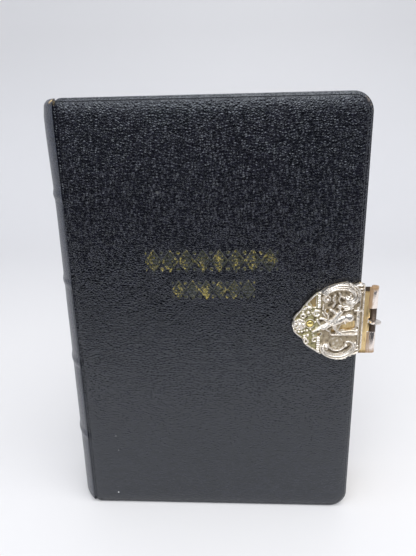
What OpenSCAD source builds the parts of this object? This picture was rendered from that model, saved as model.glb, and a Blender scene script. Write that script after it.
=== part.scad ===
// Leather-bound prayer book, standing on its tail, with a cast clasp at the fore-edge.
// +X runs from the spine to the fore-edge, +Y from the front cover to the back cover.
// The origin is at the middle of the space that the closed book fills, on the surface it stands on.

/* [Book] */
// Height of the covers, from tail to head
book_h = 167; // [140:1:200]
// Width of a cover, from its joint at the spine to the fore-edge
cover_w = 108; // [90:1:130]
// Thickness of the closed book, over both covers
book_t = 30; // [26:0.5:36]
// Space between the edges of a cover and the pages at head and tail
page_square = 2.5; // [2:0.1:4]
// Space between the edge of a cover and the pages at the fore-edge
fore_square = 3; // [2:0.1:5]
// Depth of the hollow in the fore-edge of the pages
fore_hollow = 3; // [1:0.1:5]
// Radius of the round corners of the pages
page_corner_r = 5; // [3:0.5:8]

/* [Covers] */
// Thickness of a cover board
board_t = 2.2; // [1.6:0.1:3]
// Thickness of the cover leather
leather_t = 0.7; // [0.5:0.05:1]
// Thickness of the leather where it is turned in over the board, pared thinner
turn_t = 0.4; // [0.2:0.05:0.6]
// Width of the leather turned in at head, tail and fore-edge
turn_w = 11; // [8:0.5:16]
// Leather left bare around the pasted-down endpaper
turn_bare = 3; // [2:0.5:6]
// Radius of the round cover corners at the fore-edge
cover_corner_r = 7; // [5:0.5:12]
// Radius of the cover corners beside the spine
spine_corner_r = 2.5; // [1.5:0.1:4]
// Rounding of the outer cover edges
edge_r = 1.2; // [0.8:0.1:1.4]
// Rounding of the inner cover edges
inner_edge_r = 0.5; // [0.3:0.1:0.8]
// Thickness of an endpaper
paper_t = 0.2; // [0.15:0.05:0.3]
// Gap between an endpaper and the pages
page_gap = 0.2; // [0.15:0.05:0.5]
// Width of the groove between a cover and the spine
joint_gap = 0.4; // [0.3:0.05:0.8]

/* [Spine] */
// How far the rounded spine swells beyond the joints
spine_swell = 7; // [6:0.25:8.5]
// Thickness of the spine leather
spine_leather_t = 0.8; // [0.6:0.05:1]
// Thickness of the lining glued to the back of the pages
lining_t = 0.9; // [0.6:0.05:1.2]
// Number of raised bands
band_count = 4; // [2:1:6]
// Height of a raised band above the spine
band_h = 0.4; // [0.2:0.05:1.2]
// Width of a raised band where it leaves the spine
band_w = 5; // [4:0.5:8]
// Rounding of the leather at the head and foot of the spine
cap_r = 2.2; // [1.6:0.1:2.4]
// Radius of the head and tail bands
headband_r = 0.8; // [0.6:0.05:0.85]

/* [Clasp plates] */
// Height of the clasp ornament
clasp_h = 31; // [27:0.5:36]
// Height of the middle of the clasp above the tail
clasp_z = 86; // [60:1:110]
// Thickness of the plates riveted to the covers
plate_t = 0.5; // [0.4:0.05:0.7]
// Thickness of the pierced ground of the ornament
ground_t = 0.7; // [0.5:0.05:1]
// Height of the tallest relief above the pierced ground
relief_h = 2; // [1.4:0.1:2.6]
// Radius of a rivet's shank
rivet_r = 0.6; // [0.5:0.05:0.7]
// Radius of a rivet's round head
rivet_head_r = 1.3; // [1.1:0.05:1.5]

/* [Clasp hinge and catch] */
// Distance from the fore-edge of a cover to the middle of its barrel
barrel_out = 5.2; // [5:0.1:7]
// Outer radius of the barrels
barrel_r = 1.3; // [1.2:0.05:1.6]
// Length of the whole barrel
barrel_h = 26.5; // [24:0.5:30]
// Height of the space between the two ends of a barrel
barrel_gap = 9.4; // [8:0.2:11]
// Radius of the pins
pin_r = 0.6; // [0.5:0.05:0.65]
// How far the pins end inside the open ends of the barrels
pin_inset = 1.5; // [0.5:0.1:3]
// Play around the hinge pin in the turning knuckle
pin_play = 0.05; // [0.03:0.01:0.08]
// Thickness of the bridge across the fore-edge
bridge_t = 0.8; // [0.6:0.05:1]
// How far the bridge bows out between the barrels
bridge_bow = 1.5; // [1:0.1:2.5]
// Thickness of the spring strip of the hook
spring_t = 0.45; // [0.3:0.05:0.5]
// Play between the hook and the catch pin
hook_play = 0.12; // [0.1:0.01:0.2]
// Radius of the round thumb tab
tab_r = 2.25; // [1.8:0.05:2.5]
// Thickness of the thumb tab at its middle
tab_t = 1.3; // [1:0.1:1.8]

/* [Hidden] */

$fn = 48;
// Clearance between curved faces of pieces that are glued or riveted together
seat = 0.02;
// Clearance between faces that slide past each other
slide = 0.15;
// Overrun of a cut past the face that it goes through
cut = 1;

cover_t = leather_t + board_t + turn_t;
cover_x0 = joint_gap / 2;
spine_r = (pow(book_t / 2, 2) + pow(spine_swell, 2)) / (2 * spine_swell);
spine_x = spine_r - spine_swell;
spine_half = asin(book_t / 2 / spine_r);
lining_r = spine_r - spine_leather_t;
back_r = lining_r - lining_t;
page_y0 = cover_t + paper_t + page_gap;
block_t = book_t - 2 * page_y0;
block_x1 = cover_w - fore_square;
cap_t = spine_leather_t;
// Least width of the flat top of the head and tail caps
cap_flat = 0.3;

// Leather around the spine edge of a board, pared a little thinner than the rest
edge_leather_t = leather_t - 0.1;
// Width of the leather turned in at the joint
joint_lap = 4;
// Small corner radii of boards, endpapers and pages
board_spine_r = 0.5;
turn_r = 1;
page_spine_r = 0.3;
// Width of the bare leather between the joint and the endpaper
joint_bare = 1;
// How far the bands and the rolls stop short of the joints, in degrees around the spine
band_trim = 4;
roll_trim = 8;
// Space between a roll and the sides of the pages
roll_clear = 0.3;

// The ornament is drawn in millimetres for a clasp of this height
drawn_h = 31;
drawn_relief = 2;
// How deep the relief is rooted in the pierced ground
relief_root = 0.3;
drawn = clasp_h / drawn_h;
// Middle of the gilt rivet on the drawn ornament
gilt_drawn = [-18.5, -0.8];
gilt_place = on_plate(gilt_drawn[0], gilt_drawn[1]);
front_places = [on_plate(-13.2, 10.6), on_plate(-12.6, -11.4), on_plate(-2.8, 8.2), on_plate(-3, -8.6)];
back_places = [gilt_place, on_plate(-5.5, 9), on_plate(-5.5, -9)];
// Share of a rivet's head radius that stands above the plate
head_share = 0.68;

barrel_x = cover_w + barrel_out;
barrel_y = barrel_r - plate_t;
// Width of the leaf that a knuckle is rolled from
leaf_w = 1;
// Space between a plate's edge and the knuckle or hook in its notch
notch_clear = 0.4;
leaf_x = barrel_x - barrel_r - leaf_w;
knuckle_h = (barrel_h - barrel_gap) / 2;
relief_z = plate_t + ground_t;

bridge_half = book_t / 2 - barrel_y;
bow_r = (pow(bridge_half, 2) + pow(bridge_bow, 2)) / (2 * bridge_bow);
bow_x = barrel_x + bridge_bow - bow_r;
// Space between the bridge and the barrels at its two ends
bridge_clear = 0.6;
bridge_y0 = barrel_y + barrel_r + bridge_clear;
// Radius and depth of the hollows in the upper and lower edge of the bridge
waist_r = 40;
waist_d = 0.8;
hook_r = pin_r + hook_play;
hook_h = barrel_gap - 2 * slide;
// Length of the spring strip along the bridge
spring_lap = 9;
spring_y1 = bridge_y0 + spring_lap;
// Straight end of the hook, in toward the book and back from the pin
hook_end = [0.12, 0.75];
hook_rivet_r = 0.5;
hook_head_r = 0.9;
hook_head_t = 0.3;
hook_rivet_y = spring_y1 - 2;
hook_rivet_z = [clasp_z - 2.4, clasp_z + 2.4];
// Distance from the catch pin to the middle of the thumb tab
tab_out = 2.7;
tab_y = barrel_y - tab_out;
// Half thickness of the thumb tab at its rim
tab_rim = 0.25;

right_reach = max(barrel_x + tab_r, barrel_x + bridge_bow + bridge_t / 2);
left_reach = spine_swell + band_h;
front_reach = -(tab_y - tab_r);
back_reach = plate_t + head_share * rivet_head_r;
mid_x = (right_reach - left_reach) / 2;
mid_y = (book_t + back_reach - front_reach) / 2;

// Book pieces are drawn with the front joint at x = 0 and the front face at y = 0, and placed from there
module placed() {
    translate([-mid_x, -mid_y, 0]) children();
}

// The same piece on the back cover
module back_side() {
    translate([0, book_t, 0]) mirror([0, 1, 0]) children();
}

// Turns a shape drawn flat, with its outer face up, to stand in a cover
module upright() {
    rotate([90, 0, 0]) children();
}

function arc(cx, cy, r, a0, a1, steps) =
    [for (i = [0:steps]) let (a = a0 + (a1 - a0) * i / steps) [cx + r * cos(a), cy + r * sin(a)]];

// Round-cornered panel outline, with its own corner radius at the spine and at the fore-edge
module panel_outline(x0, x1, z0, z1, r_spine, r_fore) {
    union() {
        translate([x0 + r_spine, z0]) square([x1 - r_fore - x0 - r_spine, z1 - z0]);
        translate([x0, z0 + r_spine]) square([r_spine, z1 - z0 - 2 * r_spine]);
        translate([x1 - r_fore, z0 + r_fore]) square([r_fore, z1 - z0 - 2 * r_fore]);
        for (z = [z0 + r_fore, z1 - r_fore]) translate([x1 - r_fore, z]) circle(r = r_fore);
        for (z = [z0 + r_spine, z1 - r_spine]) translate([x0 + r_spine, z]) circle(r = r_spine);
    }
}

module panel(x0, x1, z0, z1, y0, y1, r_spine, r_fore) {
    translate([0, 0, -y1]) linear_extrude(y1 - y0) panel_outline(x0, x1, z0, z1, r_spine, r_fore);
}

// Section of a cover's edge: soft outside, tighter inside; x = 0 is the edge, y = 0 the outer face
module edge_section() {
    polygon(concat(
        [[-edge_r - 0.01, -cover_t], [-edge_r - 0.01, 0]],
        arc(-edge_r, -edge_r, edge_r, 90, 0, 6),
        arc(-inner_edge_r, inner_edge_r - cover_t, inner_edge_r, 0, -90, 4)
    ));
}

module edge_run(length) {
    rotate([90, 0, 0]) translate([0, 0, -length / 2]) linear_extrude(length) edge_section();
}

module edge_corner(r) {
    rotate_extrude(angle = 90) translate([r, 0]) edge_section();
}

// A whole cover as the leather shows it, lying flat with its outer face at z = 0
module cover_form() {
    x0 = cover_x0;
    x1 = cover_w;
    fore = cover_corner_r;
    union() {
        panel(
            x0 + edge_r, x1 - edge_r, edge_r, book_h - edge_r, 0, cover_t,
            spine_corner_r - edge_r, fore - edge_r
        );
        translate([x1, book_h / 2, 0]) edge_run(book_h - 2 * fore);
        translate([x0, book_h / 2, 0]) rotate([0, 0, 180]) edge_run(book_h - 2 * spine_corner_r);
        for (side = [0, 1])
            translate([(x0 + spine_corner_r + x1 - fore) / 2, side * book_h, 0])
                rotate([0, 0, side ? 90 : -90]) edge_run(x1 - fore - x0 - spine_corner_r);
        translate([x1 - fore, book_h - fore, 0]) edge_corner(fore);
        translate([x1 - fore, fore, 0]) rotate([0, 0, -90]) edge_corner(fore);
        translate([x0 + spine_corner_r, book_h - spine_corner_r, 0])
            rotate([0, 0, 90]) edge_corner(spine_corner_r);
        translate([x0 + spine_corner_r, spine_corner_r, 0])
            rotate([0, 0, 180]) edge_corner(spine_corner_r);
    }
}

module board_form() {
    panel(
        cover_x0 + edge_leather_t, cover_w - leather_t, leather_t, book_h - leather_t,
        leather_t, leather_t + board_t, spine_corner_r - leather_t, cover_corner_r - leather_t
    );
}

// The part of the inner face that the turned-in leather leaves open, shrunk by a margin
module inner_window(y0, y1, margin) {
    panel(
        cover_x0 + joint_lap + margin, cover_w - turn_w - margin, turn_w + margin,
        book_h - turn_w - margin, y0, y1, board_spine_r, turn_r
    );
}

// Shanks of the rivets of one cover, from above the plate to the inside of the board
module shank_holes(places, r) {
    for (p = places)
        translate([p[0], p[1], -leather_t - board_t]) cylinder(r = r, h = leather_t + board_t + cut);
}

module leather_form(places) {
    difference() {
        cover_form();
        board_form();
        inner_window(leather_t + board_t / 2, cover_t + cut, 0);
        shank_holes(places, rivet_r + seat);
    }
}

module pastedown_form() {
    inner_y = leather_t + board_t;
    difference() {
        union() {
            inner_window(inner_y, cover_t + paper_t, seat);
            panel(
                cover_x0 + joint_bare, cover_w - turn_bare, turn_bare, book_h - turn_bare,
                cover_t, cover_t + paper_t, board_spine_r, cover_corner_r - turn_bare
            );
        }
        inner_window(inner_y + paper_t, cover_t + paper_t + cut, paper_t + seat);
    }
}

// Places on a clasp plate, from drawn millimetres left of the fore-edge and above the clasp's middle
function on_plate(u, v) = [cover_w + u * drawn, clasp_z + v * drawn];

// Outline of the clasp plates: a scrolled cartouche that comes to a round end on the left
module plate_outline() {
    polygon(concat(
        arc(-22.2, -1.4, 3, 215, 130, 6),
        [[-22.8, 3.4], [-21.3, 5.8], [-19.2, 8.2], [-16.8, 10.9], [-14.7, 12.2]],
        [[-12.7, 13.6], [-9.7, 14.6], [-5.9, 15.5], [-4.2, 15.4], [-3.3, 14.5], [-0.7, 15.1]],
        [[1.1, 14.3], [1.1, -11.2], [-1.1, -13.8], [-2.9, -13.7], [-5, -15.4], [-10.3, -14.2]],
        [[-13.4, -12.9], [-13.9, -13.3], [-16.6, -11.6], [-19.8, -9.7], [-21.5, -6.9], [-22.8, -5.9]]
    ));
}

// Windows cut through the ornament, which show the gilt plate behind it
module ornament_windows() {
    polygon([[-7.6, -3.4], [-6.9, -1.5], [-3.8, -0.2], [-1.9, 0.3], [-1.8, -2.6], [-4, -3.6], [-6, -3.2]]);
    polygon([[-10.6, -4.6], [-10.6, -3.1], [-9.2, -3.3], [-9.1, -4.6]]);
    polygon([[-18.9, 7.9], [-16.7, 10.1], [-16.6, 5.8], [-17.6, 5.9]]);
    translate([-12.2, 4.3]) circle(r = 0.75, $fn = 16);
    polygon([[-16.2, -5.4], [-14.3, -4.5], [-14.6, -5.9]]);
    translate([-6.8, 5]) circle(r = 0.55, $fn = 16);
}

// Bars of the relief: a path of [x, y, half width, height] along the ground, with a half-round section
function at(path, i) = path[min(max(i, 0), len(path) - 1)];
function heading(path, i) =
    let (a = at(path, i - 1), b = at(path, i + 1), d = [b[0] - a[0], b[1] - a[1]]) d / norm(d);

module bar(path, sides = 6) {
    n = len(path);
    m = sides + 1;
    root = relief_root + 0.2;
    points = [
        for (i = [0:n - 1]) let (p = path[i], d = heading(path, i))
            for (k = [0:sides]) let (a = 180 * k / sides, w = p[2] * cos(a))
                [p[0] - d[1] * w, p[1] + d[0] * w, p[3] * sin(a) - (k % sides == 0 ? root : 0)]
    ];
    walls = [
        for (i = [0:n - 2], k = [0:sides]) let (a = i * m + k, b = i * m + (k + 1) % m)
            each [[a, a + m, b], [b, a + m, b + m]]
    ];
    polyhedron(points, concat(walls, [[for (k = [0:sides]) k]], [[for (k = [sides:-1:0]) (n - 1) * m + k]]));
}

// A path along a cubic curve, with its width and height easing from one end to the other
function cubic(p, q, r, s, t) =
    let (k = 1 - t) p * k * k * k + q * 3 * k * k * t + r * 3 * k * t * t + s * t * t * t;
function curve(p, q, r, s, w0, w1, h0, h1, steps = 8) =
    [for (i = [0:steps]) let (t = i / steps, c = cubic(p, q, r, s, t))
        [c[0], c[1], w0 + (w1 - w0) * t, h0 + (h1 - h0) * t]];

// A path along a spiral around c
function volute(c, r0, r1, a0, a1, w0, w1, h0, h1, steps = 12) =
    [for (i = [0:steps]) let (t = i / steps, a = a0 + (a1 - a0) * t, r = r0 + (r1 - r0) * t)
        [c[0] + r * cos(a), c[1] + r * sin(a), w0 + (w1 - w0) * t, h0 + (h1 - h0) * t]];

// A round boss standing on the ground
module boss(x, y, r, rise) {
    translate([x, y, 0]) scale([1, 1, rise / r]) sphere(r = r, $fn = r > 0.8 ? 14 : 10);
}

// A tapered limb or leaf between two round ends: [x, y, height of its middle, radius]
module limb(a, b) {
    hull() {
        translate([a[0], a[1], a[2]]) sphere(r = a[3], $fn = 8);
        translate([b[0], b[1], b[2]]) sphere(r = b[3], $fn = 8);
    }
}

module flower(x, y, r, petals, rise) {
    for (i = [0:petals - 1]) {
        a = 360 * i / petals;
        root = 0.35 * r;
        tip = 0.78 * r;
        limb(
            [x + root * cos(a), y + root * sin(a), 0.3 * rise, 0.22 * r],
            [x + tip * cos(a), y + tip * sin(a), 0.35 * rise, 0.32 * r]
        );
    }
    boss(x, y, 0.42 * r, rise);
}

// Straps with cross flutes that bind the cartouche
module strap(x, y0, y1, half) {
    bar([[x, y0, half, 0.8], [x, y1, half, 0.8]]);
    pitch = 0.9;
    count = floor(abs(y1 - y0) / pitch);
    for (i = [0:count - 1]) {
        y = min(y0, y1) + pitch * (i + 0.5);
        bar([[x - 0.9 * half, y, 0.3, 1.1], [x + 0.9 * half, y, 0.3, 1.1]], 4);
    }
}

module scrolls() {
    // Upper scroll, from its left curl over the top into its right curl
    bar(volute([-12.6, 8.9], 0.9, 1.5, 300, 110, 0.35, 0.5, 1.1, 1.4, 9));
    bar(curve([-13.1, 10.3], [-11, 13.4], [-7.2, 12.9], [-4.7, 12.7], 0.5, 0.7, 1.4, 1.5, 8));
    bar(volute([-4.7, 10], 2.7, 0.9, 92, -215, 0.7, 0.4, 1.5, 1.4, 16));
    boss(-12.5, 8.9, 0.95, 1.9);
    boss(-4.9, 9.9, 0.7, 1.7);
    // Lower scroll, from its left curl under the foot into its right curl
    bar(volute([-12.2, -9.9], 0.9, 1.6, 60, 235, 0.35, 0.5, 1.1, 1.4, 9));
    bar(curve([-13.1, -11.2], [-11.4, -13.9], [-7.5, -14], [-5, -12.7], 0.5, 0.7, 1.4, 1.5, 8));
    bar(volute([-4.5, -9.6], 3.1, 1, -98, 215, 0.7, 0.4, 1.5, 1.4, 16));
    boss(-12.2, -9.9, 0.95, 1.9);
    boss(-4.9, -9.4, 0.85, 1.8);
}

// Long leaves that follow the outline outside the scrolls
module outer_leaves() {
    bar(curve([-14.2, 11.4], [-12.2, 14.2], [-8.5, 15], [-5.2, 14.9], 0.3, 0.5, 0.8, 1.2));
    bar(curve([-13.9, 10.6], [-11.9, 13.4], [-8.2, 14.2], [-4.3, 14], 0.25, 0.35, 0.7, 1));
    bar(curve([-13.8, -12.7], [-12, -13.8], [-9.4, -15], [-5.3, -15], 0.3, 0.45, 0.8, 1.1));
    for (y = [13.8, 12.6, 11.4])
        bar(curve([-3.2, y - 0.3], [-2.2, y + 0.3], [-1.2, y - 0.2], [-0.2, y], 0.35, 0.3, 0.8, 0.7, 4));
    for (y = [-12.9, -11.7])
        bar(curve([-3.6, y - 0.5], [-2.8, y + 0.3], [-2, y + 0.5], [-1, y + 0.8], 0.35, 0.3, 0.8, 0.7, 4));
    // Tips at the foot
    limb([-6.4, -14.1, 0.2, 0.6], [-4.7, -15, 0.2, 0.5]);
    limb([-4.4, -13.4, 0.2, 0.6], [-2.8, -14, 0.2, 0.45]);
    // Rolled leaf and small leaves at the left end
    bar(volute([-19.3, -7.9], 1.5, 0.6, 100, 330, 0.55, 0.35, 1.3, 1, 9));
    boss(-19.1, -7.7, 0.7, 1.3);
    bar(curve([-21.4, -6.3], [-22.6, -5.6], [-24, -4.6], [-24.5, -3], 0.35, 0.45, 0.8, 1.1, 5));
    bar(curve([-18.3, -10.2], [-16.8, -11.1], [-15.6, -12], [-14.1, -12.9], 0.4, 0.35, 0.9, 0.8, 5));
    bar(curve([-20.6, 6.4], [-19, 8.4], [-17.9, 9.7], [-16.4, 11], 0.3, 0.35, 0.8, 0.9, 5));
    bar(curve([-24.6, 0.8], [-24.1, 2.2], [-23.2, 3.2], [-22.3, 4], 0.4, 0.35, 1, 0.8, 4));
    limb([-17.2, -7.2, 0.3, 0.5], [-16.7, -6.5, 0.3, 0.35]);
}

module bosses() {
    flower(-22.4, -1, 2.2, 6, 1.5);
    boss(-19.3, 3.8, 0.9, 1.3);
    bar(volute([-19.3, 3.8], 1.35, 1.35, 0, 330, 0.2, 0.2, 0.7, 0.7, 12), 4);
    boss(-19.2, -5.4, 0.8, 1.2);
    for (p = [[-19.8, 6.5], [-18.8, 5.9], [-20.6, 5.2]]) boss(p[0], p[1], 0.6, 1);
    bar(volute(gilt_drawn, 1.75, 1.75, 0, 335, 0.22, 0.22, 0.7, 0.7, 12), 4);
    // Small flower beside the border
    flower(-1.2, 4.4, 1.5, 4, 1.1);
    limb([-1.2, 2.4, 0.3, 0.45], [-1, -1.8, 0.2, 0.4]);
    boss(-1.3, -3.6, 0.9, 1.3);
    // Drops that hang inside the upper scroll
    limb([-9.8, 10, 0.2, 0.3], [-9.6, 7.9, 0.3, 0.45]);
    boss(-8.1, 9.7, 0.4, 0.8);
    boss(-7.5, 6.5, 0.5, 0.9);
}

// Shallow shells that fill the two scrolls
module shells() {
    translate([-4.4, 7.2, 0]) scale([3, 1.5, 0.9]) sphere(r = 1, $fn = 16);
    bar(curve([-7.4, 6.2], [-5.8, 5.2], [-3.8, 4.6], [-2.6, 5.4], 0.3, 0.3, 0.9, 0.8, 5));
    translate([-8.6, -8.7, 0]) scale([3, 2.4, 0.8]) sphere(r = 1, $fn = 16);
    for (a = [210, 240, 270, 300]) {
        limb([-8.6, -7.6, 0.5, 0.3], [-8.6 + 2.6 * cos(a), -8 + 2.9 * sin(a), 0.2, 0.45]);
    }
}

// Small winged child resting on the ledge, worked in the round
module child() {
    // Ledge and its wavy edge
    bar([[-10.8, -5, 0.5, 1.3], [-1, -4.9, 0.5, 1.3]]);
    bar(curve([-7.8, -3.6], [-5.9, -4.5], [-4, -3], [-2, -3.6], 0.3, 0.35, 1, 1, 6));
    // Head and hair
    translate([-4.3, 1.6, 1.1]) sphere(r = 1.35, $fn = 14);
    limb([-5.1, 2.7, 1.3, 0.55], [-3.5, 2.8, 1.2, 0.5]);
    // Body
    limb([-7.4, 0.6, 0.9, 1.15], [-9.2, -0.4, 0.7, 1.1]);
    // Arms
    limb([-7, 1.6, 1.1, 0.5], [-8.1, 3, 0.9, 0.45]);
    limb([-8.1, 3, 0.9, 0.45], [-9.9, 3.5, 0.6, 0.4]);
    limb([-6.2, 1, 1, 0.5], [-5.5, -0.6, 0.8, 0.4]);
    // Legs
    limb([-9.6, -0.6, 0.8, 0.85], [-11.9, -1.2, 0.7, 0.6]);
    limb([-11.9, -1.2, 0.7, 0.6], [-14.2, -2.6, 0.5, 0.45]);
    limb([-9.4, -1, 0.7, 0.7], [-8.8, -3.2, 0.5, 0.45]);
    limb([-8.8, -3.2, 0.5, 0.4], [-7, -4.6, 0.6, 0.4]);
    // Drapery and wing
    limb([-12.2, -0.6, 0.5, 0.6], [-17.4, -3.6, 0.2, 0.45]);
    limb([-13.4, -2.4, 0.4, 0.5], [-11.2, -3.9, 0.4, 0.4]);
    limb([-11.6, 0.4, 0.7, 0.5], [-8.4, 2, 0.9, 0.5]);
    limb([-12.8, 0.6, 0.3, 0.4], [-15.4, 2.4, 0.1, 0.35]);
    limb([-12.4, 1.4, 0.2, 0.35], [-14, 3.6, 0.1, 0.35]);
    limb([-15.8, 0.6, 0.1, 0.6], [-14.8, -1.2, 0.2, 0.4]);
}

module relief() {
    scrolls();
    outer_leaves();
    bosses();
    shells();
    child();
    strap(-15.4, 5.4, 11.6, 0.75);
    strap(-15.2, -5.9, -12.4, 0.75);
    bar([[-13.9, 4.6, 0.4, 1], [-13.9, 7.2, 0.4, 1]]);
    // Upright border beside the barrel
    bar([[0.6, -10.9, 0.45, 1.3], [0.6, 14, 0.45, 1.3]]);
    bar([[-0.5, -10.8, 0.25, 0.8], [-0.5, 10.6, 0.25, 0.8]], 4);
}

// Flat sheet of a clasp, lying with its outer face at plate_t, up to the barrel; between the two
// end knuckles a lip reaches close to the part that turns there, out to lip_x
module plate_sheet(lip_x) {
    linear_extrude(plate_t) translate([cover_w, clasp_z]) scale(drawn) plate_outline();
    translate([cover_w - leaf_w, clasp_z - barrel_h / 2, 0])
        cube([leaf_x - cover_w + leaf_w, barrel_h, plate_t]);
    translate([leaf_x - leaf_w, clasp_z - barrel_gap / 2 + notch_clear, 0])
        cube([lip_x - leaf_x + leaf_w, barrel_gap - 2 * notch_clear, plate_t]);
}

// The two end knuckles of a barrel, each rolled out of a short leaf; z runs along the pin
module end_knuckles(bore) {
    for (side = [-1, 1]) translate([barrel_x, 0, clasp_z + side * (barrel_gap + knuckle_h) / 2])
        difference() {
            union() {
                translate([0, barrel_y, -knuckle_h / 2]) cylinder(r = barrel_r, h = knuckle_h);
                translate([leaf_x - barrel_x, -plate_t, -knuckle_h / 2])
                    cube([barrel_x - leaf_x, plate_t, knuckle_h]);
            }
            translate([0, barrel_y, -knuckle_h / 2 - cut]) cylinder(r = bore, h = knuckle_h + 2 * cut);
        }
}

// A rivet through a cover: shank from the plate to the inside of the board
module rivet(p, head_z, domed) {
    inner = leather_t + board_t;
    translate([p[0], p[1], 0]) {
        translate([0, 0, -inner]) cylinder(r = rivet_r, h = inner + head_z);
        if (domed) translate([0, 0, head_z]) intersection() {
            scale(rivet_head_r) sphere(r = 1);
            cylinder(r = rivet_head_r, h = head_share * rivet_head_r);
        }
    }
}

module text_block() {
    color("#d8c9a3") placed() {
        fore_r = (pow(block_t / 2, 2) + pow(fore_hollow, 2)) / (2 * fore_hollow);
        z1 = book_h - page_square;
        intersection() {
            translate([0, 0, page_square]) linear_extrude(z1 - page_square) difference() {
                union() {
                    translate([0, page_y0]) square([block_x1, block_t]);
                    intersection() {
                        translate([spine_x, book_t / 2]) circle(r = back_r - seat);
                        translate([-spine_swell, page_y0]) square([spine_swell + 1, block_t]);
                    }
                }
                translate([block_x1 - fore_hollow + fore_r, book_t / 2]) circle(r = fore_r);
            }
            translate([0, book_t, 0]) upright()
                linear_extrude(book_t)
                    panel_outline(-spine_swell, block_x1, page_square, z1, page_spine_r, page_corner_r);
        }
    }
}

// Turns a section of radius and height around the spine, left of the joints
module around_spine(half) {
    intersection() {
        translate([spine_x, book_t / 2, 0]) rotate([0, 0, 180 - half])
            rotate_extrude(angle = 2 * half) children();
        translate([-spine_swell - 2 * band_h, 0, 0])
            cube([spine_swell + 2 * band_h - cover_x0, book_t, book_h]);
    }
}

function band_z(i) = book_h * i / (band_count + 1);
// Soft swell of one band, from its lower to its upper foot, on a face of radius r
function band_swell(r, i) =
    [for (k = [0:8]) let (t = k / 4 - 1) [r + band_h * (1 + cos(180 * t)) / 2, band_z(i) + t * band_w / 2]];

module spine_lining() {
    color("#a08c66") placed() around_spine(spine_half)
        translate([back_r, page_square]) square([lining_t - seat, book_h - 2 * page_square]);
}

module raised_bands() {
    color("#8b7a5a") placed() around_spine(spine_half - band_trim)
        for (i = [1:band_count]) polygon(band_swell(lining_r, i));
}

module spine_leather() {
    lip = max(headband_r + lining_t + spine_leather_t, cap_r + cap_flat);
    bend = 2 * cap_t;
    outer = concat(
        arc(spine_r - cap_r, cap_r, cap_r, -90, 0, 5),
        [for (i = [1:band_count]) each band_swell(spine_r, i)],
        arc(spine_r - cap_r, book_h - cap_r, cap_r, 0, 90, 5)
    );
    inner = concat(
        [[spine_r - lip, book_h], [spine_r - lip, book_h - cap_t]],
        [[spine_r - bend, book_h - cap_t], [lining_r, book_h - bend]],
        [for (i = [band_count:-1:1]) let (s = band_swell(lining_r, i)) for (k = [8:-1:0]) s[k] + [seat, 0]],
        [[lining_r, bend], [spine_r - bend, cap_t], [spine_r - lip, cap_t], [spine_r - lip, 0]]
    );
    color("#3d4650") placed() around_spine(spine_half + 1) polygon(concat(outer, inner));
}

module band_roll(z) {
    placed() intersection() {
        around_spine(spine_half - roll_trim) translate([back_r - headband_r, z]) circle(r = headband_r);
        translate([-spine_swell, page_y0 + roll_clear, 0])
            cube([spine_swell, block_t - 2 * roll_clear, book_h]);
    }
}

module headband() {
    color("#b9a06a") band_roll(book_h - page_square + headband_r + seat);
}

module tailband() {
    color("#b9a06a") band_roll(page_square - headband_r - seat);
}

module board(places) {
    difference() {
        board_form();
        shank_holes(places, rivet_r + seat);
    }
}

module front_board() {
    color("#8a7656") placed() upright() board(concat([gilt_place], front_places));
}

module front_leather() {
    color("#2c3036") placed() upright() leather_form(concat([gilt_place], front_places));
}

module front_pastedown() {
    color("#d9cdb0") placed() upright() pastedown_form();
}

module front_clasp_plate() {
    tab_reach = sqrt(pow(tab_r, 2) - pow(plate_t + tab_y, 2));
    color("#b08a3c") placed() upright() difference() {
        plate_sheet(barrel_x - hook_r - spring_t - notch_clear);
        for (p = concat([gilt_place], front_places))
            translate([p[0], p[1], -cut]) cylinder(r = rivet_r + seat, h = plate_t + 2 * cut);
        // Notch behind the thumb tab
        translate([barrel_x - tab_reach - notch_clear, clasp_z - tab_t / 2 - notch_clear, -cut])
            cube([barrel_r, tab_t + 2 * notch_clear, plate_t + 2 * cut]);
    }
}

module front_ornament() {
    color("#c9c4b8") placed() upright()
        translate([cover_w, clasp_z, plate_t]) scale([drawn, drawn, 1]) union() {
            linear_extrude(ground_t) difference() {
                plate_outline();
                ornament_windows();
                translate(gilt_drawn) circle(r = (rivet_r + 2 * seat) / drawn, $fn = 24);
            }
            translate([0, 0, ground_t]) scale([1, 1, relief_h / drawn_relief]) intersection() {
                relief();
                translate([-30, -20, -relief_root]) cube([40, 40, 8]);
            }
        }
}

module front_rivets() {
    color("#9a8a5a") placed() upright() for (p = front_places) rivet(p, plate_t, false);
}

module gilt_rivet() {
    color("#d8b54a") placed() upright() rivet(gilt_place, relief_z, true);
}

module catch_barrel() {
    color("#cdb9ac") placed() end_knuckles(pin_r);
}

module pin_form() {
    translate([barrel_x, barrel_y, clasp_z - barrel_h / 2 + pin_inset])
        cylinder(r = pin_r - seat, h = barrel_h - 2 * pin_inset);
}

module catch_pin() {
    color("#8f8378") placed() pin_form();
}

module back_board() {
    color("#8a7656") placed() back_side() upright() board(back_places);
}

module back_leather() {
    color("#2c3036") placed() back_side() upright() leather_form(back_places);
}

module back_pastedown() {
    color("#d9cdb0") placed() back_side() upright() pastedown_form();
}

module back_clasp_plate() {
    color("#c4bfb2") placed() back_side() difference() {
        union() {
            upright() plate_sheet(barrel_x - barrel_r - notch_clear);
            end_knuckles(pin_r);
        }
        for (p = back_places)
            translate([p[0], plate_t + cut, p[1]])
                rotate([90, 0, 0]) cylinder(r = rivet_r + seat, h = 2 * (plate_t + cut));
    }
}

module back_rivets() {
    color("#b9b2a2") placed() back_side() upright() for (p = back_places) rivet(p, plate_t, true);
}

module hinge_pin() {
    color("#8f8378") placed() back_side() pin_form();
}

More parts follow.
